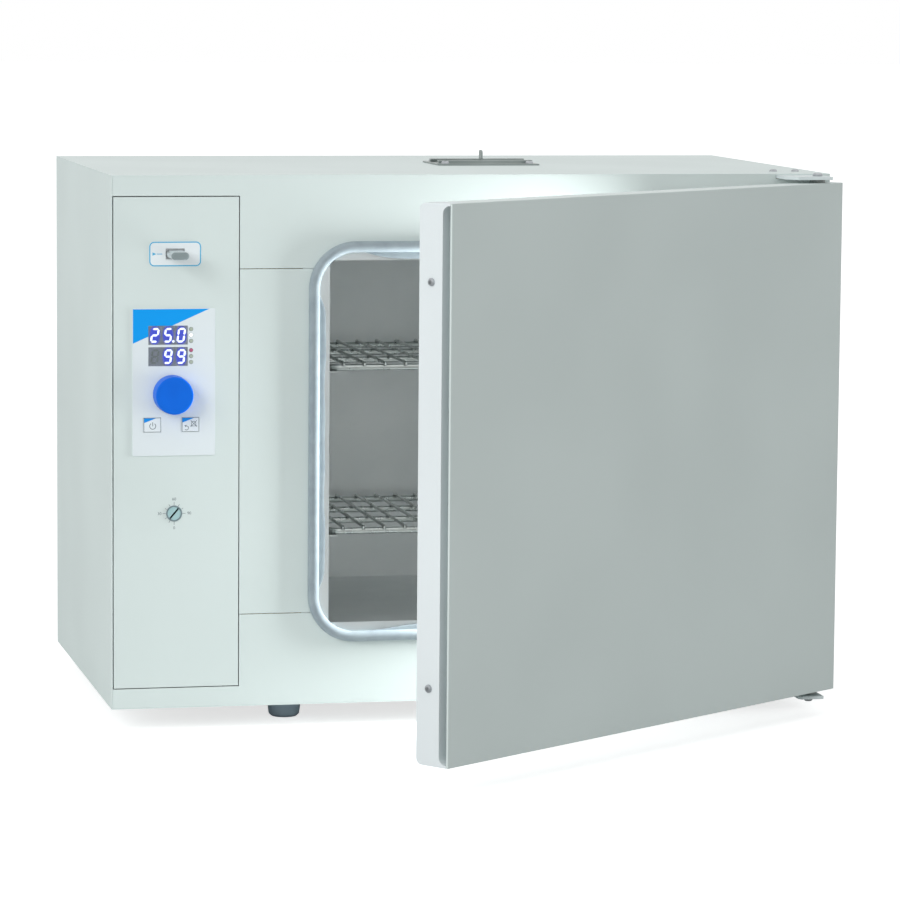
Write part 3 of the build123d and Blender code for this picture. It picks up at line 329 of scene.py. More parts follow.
def dressPiece(name, data, material, body, replaces=(), smooth=35):
    data.shade_smooth()
    data.set_sharp_from_angle(angle=radians(smooth))
    piece = bpy.data.objects.new(name, data)
    bpy.context.scene.collection.objects.link(piece)
    data.materials.append(material)
    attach(piece, body)
    if replaces:
        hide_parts(*replaces)
    return piece


def joinPoints(mesh, distance=0.01):
    # makes one point of those that meet
    bmesh.ops.remove_doubles(mesh, verts=mesh.verts, dist=distance * mm)


def cadMesh(node):
    # a copy of a CAD node's mesh, joined along its edges
    mesh = bmesh.new()
    mesh.from_mesh(frame["nodes"][node].data)
    joinPoints(mesh, 0.002)
    return mesh


def softened(node, material, radius):
    # a copy of a CAD node with its hard edges rounded as folded or moulded edges are
    mesh = cadMesh(node)
    bmesh.ops.dissolve_limit(mesh, angle_limit=radians(softMake["flat"]), verts=mesh.verts, edges=mesh.edges)
    sharp = radians(softMake["sharp"])
    hard = [edge for edge in mesh.edges if edge.is_manifold and edge.calc_face_angle() > sharp]
    bmesh.ops.bevel(
        mesh,
        geom=hard,
        offset=radius * mm,
        segments=softMake["segments"],
        profile=0.5,
        affect="EDGES",
        clamp_overlap=True,
        material=-1,
    )
    data = bpy.data.meshes.new(node + "Soft")
    mesh.to_mesh(data)
    mesh.free()
    piece = dressPiece(node + "Soft", data, material, bodyOf[node], (node,), softMake["smooth"])
    weight = piece.modifiers.new("evenShading", "WEIGHTED_NORMAL")
    weight.keep_sharp = True


def paintNode(node, material):
    for slot in frame["nodes"][node].material_slots:
        slot.material = material


def ringEdges(verts):
    known = set(verts)
    near = dict.fromkeys(edge for vert in verts for edge in vert.link_edges)
    return [edge for edge in near if known.issuperset(edge.verts)]


def turnedTo(place, heading):
    # the matrix that sets something made along Z at a place, along a heading
    return Matrix.Translation(place) @ heading.to_track_quat("Z", "Y").to_matrix().to_4x4()


def closedRing(mesh, points):
    ring = [mesh.verts.new(point) for point in points]
    for vert, after in zip(ring, ring[1:] + ring[:1]):
        mesh.edges.new((vert, after))
    return ring


def circleRing(mesh, place, heading, radius, sides):
    made = bmesh.ops.create_circle(mesh, segments=sides, radius=radius, matrix=turnedTo(place, heading))
    return made["verts"]


def run(mesh, verts, heading, length, steps=1):
    # carries a ring straight on
    for _ in range(steps):
        made = bmesh.ops.extrude_edge_only(mesh, edges=ringEdges(verts))["geom"]
        verts = [item for item in made if isinstance(item, bmesh.types.BMVert)]
        bmesh.ops.translate(mesh, verts=verts, vec=heading * (length / steps))
    return verts


def bend(mesh, verts, centre, axis, angle, steps):
    # carries a ring round a bend
    geom = verts + ringEdges(verts)
    made = bmesh.ops.spin(mesh, geom=geom, cent=centre, axis=axis, angle=angle, steps=steps)["geom_last"]
    return [item for item in made if isinstance(item, bmesh.types.BMVert)]


def cap(mesh, verts):
    bmesh.ops.contextual_create(mesh, geom=ringEdges(verts))


def skin(mesh, rings):
    # a closed skin over a row of rings
    for near, far in zip(rings, rings[1:]):
        bmesh.ops.bridge_loops(mesh, edges=ringEdges(near) + ringEdges(far))
    cap(mesh, rings[0])
    cap(mesh, rings[-1])


def lathe(mesh, points, centre, axis, steps):
    # spins a chain of points round an axis
    chain = [mesh.verts.new(point) for point in points]
    edges = [mesh.edges.new(pair) for pair in zip(chain, chain[1:])]
    bmesh.ops.spin(mesh, geom=chain + edges, cent=centre, axis=axis, angle=2 * pi, steps=steps, use_merge=True)


def block(mesh, place, size):
    made = bmesh.ops.create_cube(mesh, size=1.0)["verts"]
    bmesh.ops.scale(mesh, verts=made, vec=[length * mm for length in size])
    bmesh.ops.translate(mesh, verts=made, vec=place)


def tubeAlong(mesh, place, heading, radius, sides, moves, capped=True):
    # a round bar that starts at a place and follows runs and bends; each bend turns about its own axis
    ring = circleRing(mesh, place, heading, radius, sides)
    if capped:
        cap(mesh, ring)
    for kind, *move in moves:
        if kind == "run":
            ring = run(mesh, ring, heading, move[0])
            place = place + heading * move[0]
        else:
            bendRadius, axis, angle, steps = move
            centre = place + axis.cross(heading) * bendRadius
            ring = bend(mesh, ring, centre, axis, angle, steps)
            turn = Matrix.Rotation(angle, 3, axis)
            place = centre + turn @ (place - centre)
            heading = turn @ heading
    return ring


# Sheet metal and machined parts keep their CAD shape, with the soft edges that folding leaves

foldedEdges = {
    casingCoat: {
        "left_side_panel": 0.5, "right_side_panel": 0.5, "top_cover": 0.55, "base_pan": 0.5, "rear_cover": 0.4,
        "front_top_rail": 0.25, "front_bottom_rail": 0.25, "front_left_stile": 0.25, "front_right_stile": 0.25,
        "control_panel": 0.35,
    },
    doorCoat: {"door_skin": 0.5},
    railCoat: {"door_grip_rail": 0.8},
    linerSteel: {"door_liner": 0.45},
    ventSteel: {"vent_frame": 0.3, "vent_slider": 0.3},
    plateCoat: {"top_hinge_plate": 0.4, "bottom_hinge_plate": 0.4},
    zincSteel: {"top_hinge_pin": 0.3, "bottom_hinge_pin": 0.3},
    footRubber: {"feet": 0.7},
    filmPale: {"control_overlay": 0.08},
    filmWhite: {"usb_label": 0.08, "power_key": 0.15, "mute_key": 0.15},
    greyPlastic: {"safety_thermostat": 0.25},
    dialPlastic: {"thermostat_dial": 0.25},
    blackPlastic: {"mains_inlet": 0.5},
}
for material, radii in foldedEdges.items():
    for node, radius in radii.items():
        softened(node, material, radius)
print("folded and moulded pieces ready")

plainNodes = {
    chamberSteel: ("inner_chamber", "chimney_tube", "shelf_racks", "temperature_probe", "heating_elements"),
    galvanised: ("bay_bulkhead", "heater_brackets", "door_hinge_blocks"),
    zincSteel: ("usb_socket", "board_standoffs", "foot_screws", "encoder_shaft"),
    blackPlastic: ("display_modules", "rotary_encoder", "key_switches", "solid_state_relay"),
    greyPlastic: ("status_lamps",),
    boardResin: ("controller_board",),
    wool: ("insulation_jacket", "door_insulation"),
    sintered: ("door_bushes",),
    ferrite: ("door_magnets",),
}
for material, nodes in plainNodes.items():
    for node in nodes:
        paintNode(node, material)


# Screws: pan heads with a cross recess, seated where the CAD screws are

screwMake = {
    "dome": [(1.0, 0.0), (1.0, 0.35), (0.93, 0.66), (0.8, 0.88), (0.62, 1.0)], "flatTop": 0.999,
    "sides": 24, "arm": 0.2, "reach": 0.5, "pit": 0.45, "shankSides": 12,
}
screwSets = {
    "cover_screws": {"radius": 3.6, "height": 2.0, "shank": 1.5},
    "vent_screws": {"radius": 3.9, "height": 2.6, "shank": 2.0},
    "grip_rail_screws": {"radius": 3.6, "height": 2.2, "shank": 2.0},
    "hinge_plate_screws": {"radius": 3.8, "height": 2.0, "shank": 2.0},
}
doorTurn = 36.8


def screwOut(node, centre):
    # the way a screw's head looks; the hinge plates' screws go in from above and from below
    if node == "cover_screws":
        return Vector((0, 1, 0))
    if node == "grip_rail_screws":
        return Vector((-cos(radians(doorTurn)), -sin(radians(doorTurn)), 0))
    below = node == "hinge_plate_screws" and centre.z <= middle(node).z
    return Vector((0, 0, -1 if below else 1))


def panHead(mesh, seat, out, radius, height):
    # a domed head spun round its axis, with a cross-shaped pit sunk in its flat top
    before = set(mesh.verts)
    dome = [(radius * r, 0, height * z) for r, z in screwMake["dome"]]
    lathe(mesh, dome, (0, 0, 0), (0, 0, 1), screwMake["sides"])
    rim = [v for v in mesh.verts if v not in before and v.co.z > height * screwMake["flatTop"]]
    arm, reach = radius * screwMake["arm"], radius * screwMake["reach"]
    corner = [(reach, -arm), (reach, arm), (arm, arm)]
    turns = [Matrix.Rotation(quarter * pi / 2, 3, "Z") for quarter in range(4)]
    cross = closedRing(mesh, [turn @ Vector((x, y, height)) for turn in turns for x, y in corner])
    crossEdges = ringEdges(cross)
    bmesh.ops.bridge_loops(mesh, edges=ringEdges(rim) + crossEdges)
    walls = bmesh.ops.extrude_edge_only(mesh, edges=crossEdges)["geom"]
    floor = [item for item in walls if isinstance(item, bmesh.types.BMVert)]
    bmesh.ops.translate(mesh, verts=floor, vec=(0, 0, -height * screwMake["pit"]))
    cap(mesh, floor)
    made = [v for v in mesh.verts if v not in before]
    bmesh.ops.transform(mesh, matrix=turnedTo(seat, out), verts=made)


def solidsOf(node):
    # the separate solids of a CAD node, each as the list of its points
    mesh = cadMesh(node)
    left = dict.fromkeys(mesh.verts)
    solids = []
    while left:
        points, front = [], [left.popitem()[0]]
        while front:
            vert = front.pop()
            points.append(vert.co.copy())
            near = [edge.other_vert(vert) for edge in vert.link_edges]
            near = [other for other in near if other in left]
            front += near
            for other in near:
                del left[other]
        solids.append(points)
    mesh.free()
    return solids


def screwSet(node):
    # one head for each screw in the node, with a plain shank into what it holds
    sizes = {name: size * mm for name, size in screwSets[node].items()}
    mesh = bmesh.new()
    for points in solidsOf(node):
        centre = sum(points, Vector()) / len(points)
        out = screwOut(node, centre)
        along = [point.dot(out) for point in points]
        under = max(along) - sizes["height"]
        seat = centre + out * (under - centre.dot(out))
        panHead(mesh, seat, out, sizes["radius"], sizes["height"])
        shank = [("run", under - min(along))]
        tubeAlong(mesh, seat, -out, sizes["shank"], screwMake["shankSides"], shank)
    newPiece(node + "Heads", mesh, zincSteel, bodyOf[node], (node,))


for node in screwSets:
    screwSet(node)
print("screws ready")


# Wire shelves: a bent frame, cross rods, and wires with their ends turned down over the frame

shelfMake = {
    "rod": 3.0, "corner": 10.0, "cornerSteps": 6, "crossRods": 2, "rodSides": 16,
    "wire": 1.5, "wires": 19, "pitch": 20.25, "wireSides": 10, "sink": 0.25,
    "hook": 2.0, "hookDrop": 0.3, "hookSteps": 4,
}


def wireShelf(node):
    low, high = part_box(node)
    rod, corner, wire, hook, sink, drop = (
        shelfMake[name] * mm for name in ("rod", "corner", "wire", "hook", "sink", "hookDrop")
    )
    z = low.z + rod
    left, right = low.x + rod, high.x - rod
    front, back = low.y + rod, high.y - rod
    up = Vector((0, 0, 1))
    along = Vector((1, 0, 0))
    mesh = bmesh.new()
    width, depth = right - left - 2 * corner, back - front - 2 * corner
    elbow = ("bend", corner, up, pi / 2, shelfMake["cornerSteps"])
    moves = [("run", width), elbow, ("run", depth), elbow] * 2
    start = Vector((left + corner, front, z))
    tubeAlong(mesh, start, along, rod, shelfMake["rodSides"], moves, capped=False)
    joinPoints(mesh)
    gap = (back - front) / (shelfMake["crossRods"] + 1)
    for i in range(shelfMake["crossRods"]):
        start = Vector((left, front + (i + 1) * gap, z))
        cap(mesh, tubeAlong(mesh, start, along, rod, shelfMake["rodSides"], [("run", right - left)]))
    over = z + rod + wire - sink
    reach = rod + wire - sink - hook
    turnDown = ("bend", hook, Vector((-1, 0, 0)), pi / 2, shelfMake["hookSteps"])
    moves = [("run", drop), turnDown, ("run", back - front + 2 * reach), turnDown, ("run", drop)]
    for i in range(shelfMake["wires"]):
        x = (left + right) / 2 + (i - (shelfMake["wires"] - 1) / 2) * shelfMake["pitch"] * mm
        start = Vector((x, front - reach - hook, over - hook - drop))
        cap(mesh, tubeAlong(mesh, start, up, wire, shelfMake["wireSides"], moves))
    newPiece(node + "Wires", mesh, wireSteel, bodyOf[node], (node,))


wireShelf("upper_shelf")
wireShelf("lower_shelf")
print("shelves ready")


# Door seal: a soft bulb with a lip that lies over the chamber's flange and dies away at the corners.
# The lip's root, tip and crown are shares of the widths that they lie on.

sealMake = {
    "bulb": 10.5, "corner": 45.0, "straightSteps": 40, "cornerSteps": 14, "sides": 20,
    "wave": 0.5, "wavePitchX": 44.0, "wavePitchZ": 31.0, "waveShift": 0.6,
    "lipReach": 6.5, "lipThick": 1.5, "lipSteps": 6, "lipSink": 0.35, "lipRoot": 0.8,
    "tipStart": 0.8, "tipRound": 22.0, "tipThick": 0.4, "crown": 0.25, "leastLip": 0.02,
    "taper": {"left": 26.0, "right": 26.0, "top": 40.0, "bottom": 95.0},
    "taperPower": 1.3, "lipEven": 0.92, "ripples": ((0.06, 23.0, 0.0), (0.05, 9.5, 1.3)),
}


def sealPath(mesh, verts, low, high):
    # carries a profile once round the mouth, starting up the left side
    corner = sealMake["corner"] * mm
    width, height = high.x - low.x - 2 * corner, high.z - low.z - 2 * corner
    left, right, bottom, top = low.x + corner, high.x - corner, low.z + corner, high.z - corner
    sides = [
        (Vector((0, 0, 1)), height, (left, top)),
        (Vector((1, 0, 0)), width, (right, top)),
        (Vector((0, 0, -1)), height, (right, bottom)),
        (Vector((-1, 0, 0)), width, (left, bottom)),
    ]
    for heading, length, (x, z) in sides:
        verts = run(mesh, verts, heading, length, sealMake["straightSteps"])
        centre = Vector((x, low.y, z))
        verts = bend(mesh, verts, centre, Vector((0, 1, 0)), pi / 2, sealMake["cornerSteps"])
    joinPoints(mesh)


def sealInset(co, low, high):
    # how far a point lies in from the seal's outer edge, the way out there, and where that way starts
    corner = sealMake["corner"] * mm
    coreX = min(max(co.x, low.x + corner), high.x - corner)
    coreZ = min(max(co.z, low.z + corner), high.z - corner)
    core = Vector((coreX, co.y, coreZ))
    out = co - core
    return corner - out.length, out.normalized(), core


def lipShare(co, low, high):
    # how much of the lip stands at this place along a side
    corner = sealMake["corner"] * mm
    alongZ = min(co.z - low.z, high.z - co.z) - corner
    alongX = min(co.x - low.x, high.x - co.x) - corner
    if alongZ > 0 and alongX < 0:
        side = "left" if co.x < (low.x + high.x) / 2 else "right"
        travel = alongZ
    elif alongX > 0:
        side = "bottom" if co.z < (low.z + high.z) / 2 else "top"
        travel = alongX
    else:
        return 0.0
    share = min(travel / (sealMake["taper"][side] * mm), 1.0)
    ripple = sum(size * sin(travel / (pitch * mm) + shift) for size, pitch, shift in sealMake["ripples"])
    return sin(share * pi / 2) ** sealMake["taperPower"] * (sealMake["lipEven"] + ripple)


def lipSection(left, fascia, z):
    # the lip's section: out along its back and home along its face, thinner at its tip
    bulb, reach, thick, sink = (sealMake[name] * mm for name in ("bulb", "lipReach", "lipThick", "lipSink"))
    root = bulb * sealMake["lipRoot"]
    shares = [i / sealMake["lipSteps"] for i in range(sealMake["lipSteps"] + 1)]
    points = []
    for side, row in ((-0.5, shares), (0.5, shares[::-1])):
        for share in row:
            past = max(0.0, share - sealMake["tipStart"])
            edge = sqrt(max(0.0, 1 - past ** 2 * sealMake["tipRound"]))
            full = sealMake["tipThick"] + (1 - sealMake["tipThick"]) * edge
            rise = 0.5 + side * full - sealMake["crown"] * share * (1 - share)
            points.append((left + root + (reach + bulb - root) * share, fascia - sink - thick * rise, z))
    return points


def doorSeal():
    low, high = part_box("door_gasket")
    fascia = casing.y
    bulb, corner = sealMake["bulb"] * mm, sealMake["corner"] * mm
    startZ = low.z + corner
    mesh = bmesh.new()
    centre = Vector((low.x + bulb / 2, low.y + bulb / 2, startZ))
    ring = circleRing(mesh, centre, Vector((0, 0, 1)), bulb / 2, sealMake["sides"])
    for vert in ring:
        vert.co.y = min(vert.co.y, fascia)
    sealPath(mesh, ring, low, high)
    for vert in mesh.verts:
        _, out, _ = sealInset(vert.co, low, high)
        wave = sin(vert.co.z / (sealMake["wavePitchZ"] * mm))
        wave *= sin(vert.co.x / (sealMake["wavePitchX"] * mm) + sealMake["waveShift"])
        proud = (fascia - vert.co.y) / (fascia - low.y)
        vert.co -= out * (0.5 + 0.5 * wave) * sealMake["wave"] * mm * proud
    bulbVerts = set(mesh.verts)
    sealPath(mesh, closedRing(mesh, lipSection(low.x, fascia, startZ)), low, high)
    start = bulb * sealMake["lipRoot"]
    for vert in mesh.verts:
        inset, out, core = sealInset(vert.co, low, high)
        if vert not in bulbVerts and inset > start:
            share = max(lipShare(vert.co, low, high), sealMake["leastLip"])
            vert.co = core + out * (corner - start - (inset - start) * share)
    newPiece("doorSeal", mesh, silicone, "casing", ("door_gasket",))


doorSeal()
print("seal ready")


# Knob: a plain moulded drum with a rounded rim and a faintly dished face

knobMake = {
    "sides": 96, "foot": 1.2, "footRise": 0.3, "rim": 1.5, "rimSteps": 6, "taper": 0.5,
    "face": [(0.72, 0.12), (0.4, 0.21), (0, 0.25)],
}


def knob():
    low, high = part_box("control_knob")
    centre = middle("control_knob")
    radius, depth = (high.x - low.x) / 2, high.y - low.y
    rim = knobMake["rim"] * mm
    face = radius - knobMake["taper"] * mm
    mesh = bmesh.new()
    points = [(radius - knobMake["foot"] * mm, 0), (radius, knobMake["footRise"] * mm)]
    for i in range(knobMake["rimSteps"] + 1):
        angle = i * pi / 2 / knobMake["rimSteps"]
        points.append((face - rim + rim * cos(angle), depth - rim + rim * sin(angle)))
    points += [(face * share, depth - dip * mm) for share, dip in knobMake["face"]]
    profile = [(centre.x + r, high.y - y, centre.z) for r, y in points]
    lathe(mesh, profile, Vector((centre.x, high.y, centre.z)), (0, 1, 0), knobMake["sides"])
    joinPoints(mesh)
    bmesh.ops.holes_fill(mesh, edges=mesh.edges, sides=0)
    newPiece("knobDrum", mesh, knobPlastic, "knob", ("control_knob",))


knob()


# USB drive: a satin shell with a grey end cap, rounded all round its end

driveMake = {
    "cap": 2.2, "capInset": 0.2, "round": 1.4, "roundSteps": 4, "cornerSteps": 10,
    "shoulder": 0.8, "bead": 0.15, "plug": (12.0, 11.75, 4.5),
}


def driveOutline(mesh, y, shrink):
    # a slot-shaped ring about the drive's middle: two half circles joined by straight runs
    low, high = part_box("usb_drive")
    centre = middle("usb_drive")
    halfWidth, halfHeight = (high.x - low.x) / 2 - shrink, (high.z - low.z) / 2 - shrink
    points = []
    straight = halfWidth - halfHeight
    for side, start in ((1, -pi / 2), (-1, pi / 2)):
        for i in range(driveMake["cornerSteps"] + 1):
            angle = start + i * pi / driveMake["cornerSteps"]
            x, z = side * straight + halfHeight * cos(angle), halfHeight * sin(angle)
            points.append((centre.x + x, y, centre.z + z))
    return closedRing(mesh, points)


def usbDrive():
    low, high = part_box("usb_drive")
    centre = middle("usb_drive")
    edge, capInset, shoulder, bead = (driveMake[name] * mm for name in ("round", "capInset", "shoulder", "bead"))
    plugDepth = driveMake["plug"][1] * mm
    plugFront = high.y - plugDepth
    capBack = low.y + driveMake["cap"] * mm
    shell = bmesh.new()
    outlines = [(plugFront, shoulder), (plugFront - shoulder, 0), (capBack + bead, 0), (capBack, bead)]
    skin(shell, [driveOutline(shell, y, shrink) for y, shrink in outlines])
    block(shell, (centre.x, high.y - plugDepth / 2, centre.z), driveMake["plug"])
    newPiece("driveShell", shell, driveShell, "usb_drive", ("usb_drive",))
    end = bmesh.new()
    outlines = [(capBack, capInset)]
    for i in range(driveMake["roundSteps"] + 1):
        angle = i * pi / 2 / driveMake["roundSteps"]
        outlines.append((low.y + edge - edge * sin(angle), capInset + edge * (1 - cos(angle))))
    skin(end, [driveOutline(end, y, shrink) for y, shrink in outlines])
    newPiece("driveCap", end, driveCap, "usb_drive")


usbDrive()
print("knob and drive ready")


# Prints: flat inks a hair proud of the film or paint that carries them.
# Their places are across and up the front; "front" is how far one lies from the casing's face.


def flatShape(mesh, points, y):
    verts = [mesh.verts.new(spot(x, y, z)) for x, z in points]
    return mesh.faces.new(verts)


def ribbon(mesh, points, width, y, closed=False):
    # a line of even width along points on the front, mitred at its corners as far as the limit allows
    mitreLimit = 0.35
    count = len(points)
    pairs = []
    for i, (x, z) in enumerate(points):
        before = points[(i - 1) % count] if closed or i > 0 else None
        after = points[(i + 1) % count] if closed or i < count - 1 else None
        way = Vector((0, 0))
        for a, b in ((before, (x, z)), ((x, z), after)):
            if a and b:
                way += (Vector(b) - Vector(a)).normalized()
        way.normalize()
        half = width / 2
        if before and after:
            share = way.dot((Vector((x, z)) - Vector(before)).normalized())
            half /= max(share, mitreLimit)
        side = Vector((-way.y, way.x)) * half
        pairs.append([mesh.verts.new(spot(x + s * side.x, y, z + s * side.y)) for s in (1, -1)])
    for i in range(count if closed else count - 1):
        a, b = pairs[i], pairs[(i + 1) % count]
        mesh.faces.new((a[0], a[1], b[1], b[0]))


def arcPoints(x, z, radius, start, end, steps):
    angles = [radians(start + (end - start) * i / steps) for i in range(steps + 1)]
    return [(x + radius * cos(a), z + radius * sin(a)) for a in angles]


def circlePoints(x, z, radius, steps):
    return arcPoints(x, z, radius, 0, 360 - 360 / steps, steps - 1)


def boxPoints(x0, x1, z0, z1):
    return [(x0, z0), (x1, z0), (x1, z1), (x0, z1)]


def roundedBox(x0, x1, z0, z1, radius, steps=6):
    points = []
    for x, z, start in ((x1, z1, 0), (x0, z1, 90), (x0, z0, 180), (x1, z0, 270)):
        cx = x - radius if x == x1 else x + radius
        cz = z - radius if z == z1 else z + radius
        points += arcPoints(cx, cz, radius, start, start + 90, steps)
    return points


def shifted(x, z, points):
    return [(x + dx, z + dz) for dx, dz in points]


def printPiece(name, mesh, material, body):
    # inks are laid in a film's own slot; their faces look forward
    data = bpy.data.meshes.new(name)
    for face in mesh.faces:
        face.normal_update()
        if face.normal.y > 0:
            face.normal_flip()
    mesh.to_mesh(data)
    mesh.free()
    dressPiece(name, data, material, body, ())


overlayMake = {
    "left": 19.8, "top": 380.0, "front": -0.84, "wedgeRight": 92.8, "wedgeBottom": 347.2, "inkEdge": 0.5,
}
windowMake = {
    "left": 34.9, "right": 72.2, "tops": (363.8, 343.65), "height": 17.9,
    "inset": 0.02, "lift": 0.35, "pane": 0.2, "paneFront": -0.7,
}


def overlayPrints():
    # a blue wedge over the film's top left corner, cut away where the upper window is
    left, top = overlayMake["left"] + overlayMake["inkEdge"], overlayMake["top"] - overlayMake["inkEdge"]
    bottom, right = overlayMake["wedgeBottom"], overlayMake["wedgeRight"]
    windowLeft, windowTop = windowMake["left"], windowMake["tops"][0]
    slope = (top - bottom) / (right - left)
    crossX = left + (windowTop - bottom) / slope
    outline = [
        (left, bottom),
        (windowLeft, bottom + (windowLeft - left) * slope),
        (windowLeft, windowTop),
        (min(crossX, windowMake["right"]), windowTop),
        (right, top),
        (left, top),
    ]
    wedge = bmesh.new()
    flatShape(wedge, outline, overlayMake["front"])
    printPiece("overlayWedge", wedge, inkBlue, "casing")


keyMake = {
    "power_key": (38.6, 270.3), "mute_key": (74.9, 270.3),
    "halfWidth": 8.2, "halfHeight": 6.85, "inset": 0.3, "frame": 0.35, "front": -1.04,
    "cornerWidth": 11.3, "cornerDrop": 4.4,
}
powerSign = {
    "x": 0.4, "z": -1.1, "radius": 2.9, "turn": (125, 415), "steps": 24,
    "bar": ((0.4, -1.2), (0.4, 2.6)), "line": 0.6,
}
backSign = {
    "x": -3.8, "z": -3.2, "radius": 1.9, "turn": (-140, 130), "steps": 16, "line": 0.55,
    "head": ((-5.9, -0.9), (-3.8, -0.2), (-4.3, -2.3)),
}
bellSign = {
    "x": 3.0, "z": 1.1, "radius": 2.0, "turn": (0, 180), "steps": 12, "line": 0.45,
    "skirt": ((1.0, -0.7), (0.2, -1.4), (5.8, -1.4), (5.0, -0.7)),
    "strokes": (((0.2, -2.0), (6.0, 3.8)), ((6.0, -2.0), (0.2, 3.8))), "strokeLine": 0.5,
    "strokeLifts": (0.01, 0.015),
}


def signArc(sign, x, z):
    return arcPoints(x + sign["x"], z + sign["z"], sign["radius"], *sign["turn"], sign["steps"])


def powerMarks(ink, x, z, front):
    ribbon(ink, signArc(powerSign, x, z), powerSign["line"], front)
    ribbon(ink, shifted(x, z, powerSign["bar"]), powerSign["line"], front)


def muteMarks(ink, x, z, front):
    # a turned-back arrow and a crossed-out bell
    ribbon(ink, signArc(backSign, x, z), backSign["line"], front)
    flatShape(ink, shifted(x, z, backSign["head"]), front)
    bell = signArc(bellSign, x, z) + shifted(x, z, bellSign["skirt"])
    ribbon(ink, bell, bellSign["line"], front, closed=True)
    for stroke, lift in zip(bellSign["strokes"], bellSign["strokeLifts"]):
        ribbon(ink, shifted(x, z, stroke), bellSign["strokeLine"], front - lift)


def keyPrints(key, marks):
    x, z = keyMake[key]
    front = keyMake["front"]
    halfWidth, halfHeight = keyMake["halfWidth"] - keyMake["inset"], keyMake["halfHeight"] - keyMake["inset"]
    ink = bmesh.new()
    edge = boxPoints(x - halfWidth, x + halfWidth, z - halfHeight, z + halfHeight)
    ribbon(ink, edge, keyMake["frame"], front, closed=True)
    marks(ink, x, z, front)
    printPiece(key + "Marks", ink, inkGrey, bodyOf[key])
    corner = bmesh.new()
    left, top = x - halfWidth + keyMake["frame"] / 2, z + halfHeight - keyMake["frame"] / 2
    outline = [(0, 0), (0, -keyMake["cornerDrop"]), (keyMake["cornerWidth"], 0)]
    flatShape(corner, shifted(left, top, outline), front)
    printPiece(key + "Corner", corner, inkKeyBlue, bodyOf[key])


usbMake = {
    "x": 60.3, "z": 431.2, "halfWidth": 24.8, "halfHeight": 11.85, "radius": 5.0,
    "line": 1.1, "lineInset": 0.25, "front": -0.54,
    "arrow": ((-21.5, -1.6), (-21.5, 1.6), (-17.8, 0)), "bar": (-17.4, -12.2, -0.35, 0.35),
}


def usbPrints():
    x, z, front = usbMake["x"], usbMake["z"], usbMake["front"]
    inset = usbMake["line"] / 2 + usbMake["lineInset"]
    halfWidth, halfHeight = usbMake["halfWidth"] - inset, usbMake["halfHeight"] - inset
    ink = bmesh.new()
    border = roundedBox(x - halfWidth, x + halfWidth, z - halfHeight, z + halfHeight, usbMake["radius"] - inset)
    ribbon(ink, border, usbMake["line"], front, closed=True)
    flatShape(ink, shifted(x, z, usbMake["arrow"]), front)
    flatShape(ink, shifted(x, z, boxPoints(*usbMake["bar"])), front)
    printPiece("labelBorder", ink, inkLabel, "casing")


dialMake = {
    "x": 59.5, "z": 186.0, "ticks": 10, "firstTick": 270, "tickTurn": 30, "longEvery": 3,
    "tickIn": 7.9, "tickOut": 10.0, "longer": 0.9, "tick": 0.4, "front": -0.04,
    "numbers": {"0": (0, -13.8), "30": (-14.0, 0), "60": (0, 13.6), "90": (14.4, 0)}, "numberSize": 3.9,
}


def dialPrints():
    x, z, front = dialMake["x"], dialMake["z"], dialMake["front"]
    ink = bmesh.new()
    for i in range(dialMake["ticks"]):
        angle = radians(dialMake["firstTick"] - dialMake["tickTurn"] * i)
        outer = dialMake["tickOut"] + (0.0 if i % dialMake["longEvery"] else dialMake["longer"])
        ends = [(x + r * cos(angle), z + r * sin(angle)) for r in (dialMake["tickIn"], outer)]
        ribbon(ink, ends, dialMake["tick"], front)
    printPiece("dialTicks", ink, inkGrey, "casing")
    for words, (dx, dz) in dialMake["numbers"].items():
        letters("dialNumber" + words, words, x + dx, z + dz, dialMake["numberSize"], front)


def letters(name, words, x, z, size, y):
    # plain numbers laid flat on the front, turned to mesh before they are placed
    curve = bpy.data.curves.new(name, "FONT")
    curve.body = words
    curve.size = size * mm
    curve.align_x = "CENTER"
    curve.align_y = "CENTER"
    draft = bpy.data.objects.new(name + "Draft", curve)
    bpy.context.scene.collection.objects.link(draft)
    data = bpy.data.meshes.new_from_object(draft)
    bpy.data.objects.remove(draft)
    data.transform(Matrix.Translation(spot(x, y, z)) @ Matrix.Rotation(pi / 2, 4, "X"))
    data.materials.clear()
    dressPiece(name, data, inkGrey, "casing", ())


overlayPrints()
keyPrints("power_key", powerMarks)
keyPrints("mute_key", muteMarks)
usbPrints()
dialPrints()
print("prints ready")


# Displays: slanted seven-segment figures behind clear windows

digitMake = {
    "height": 13.8, "width": 7.6, "stroke": 1.9, "slant": 0.14, "pitch": 12.5, "gap": 0.25,
    "dot": 1.1, "dotGap": 1.2, "dotSides": 20, "lift": 0.1,
}
segments = {"0": "abcdef", "2": "abged", "5": "afgcd", "8": "abcdefg", "9": "abcdfg"}
haloMake = {
    "squash": (1.25, 0, 0.72), "inner": 5.2, "outer": 7.6, "glow": 0.45,
    "potting": "#98A0A6", "litPotting": "#2338B8", "light": "#2A48E8",
}


def segmentBar(mesh, start, end, cx, cz, y):
    # one bar of a figure, pointed at both ends, leaning with the figure
    way = Vector((end[0] - start[0], end[1] - start[1]))
    length = way.length
    way.normalize()
    side = Vector((-way.y, way.x))
    half, gap = digitMake["stroke"] / 2, digitMake["gap"]
    outline = [(gap, 0), (gap + half, half), (length - gap - half, half)]
    outline += [(length - gap, 0), (length - gap - half, -half), (gap + half, -half)]
    points = []
    for along, across in outline:
        p = Vector(start) + way * along + side * across
        points.append((cx + p.x + p.y * digitMake["slant"], cz + p.y))
    flatShape(mesh, points, y)


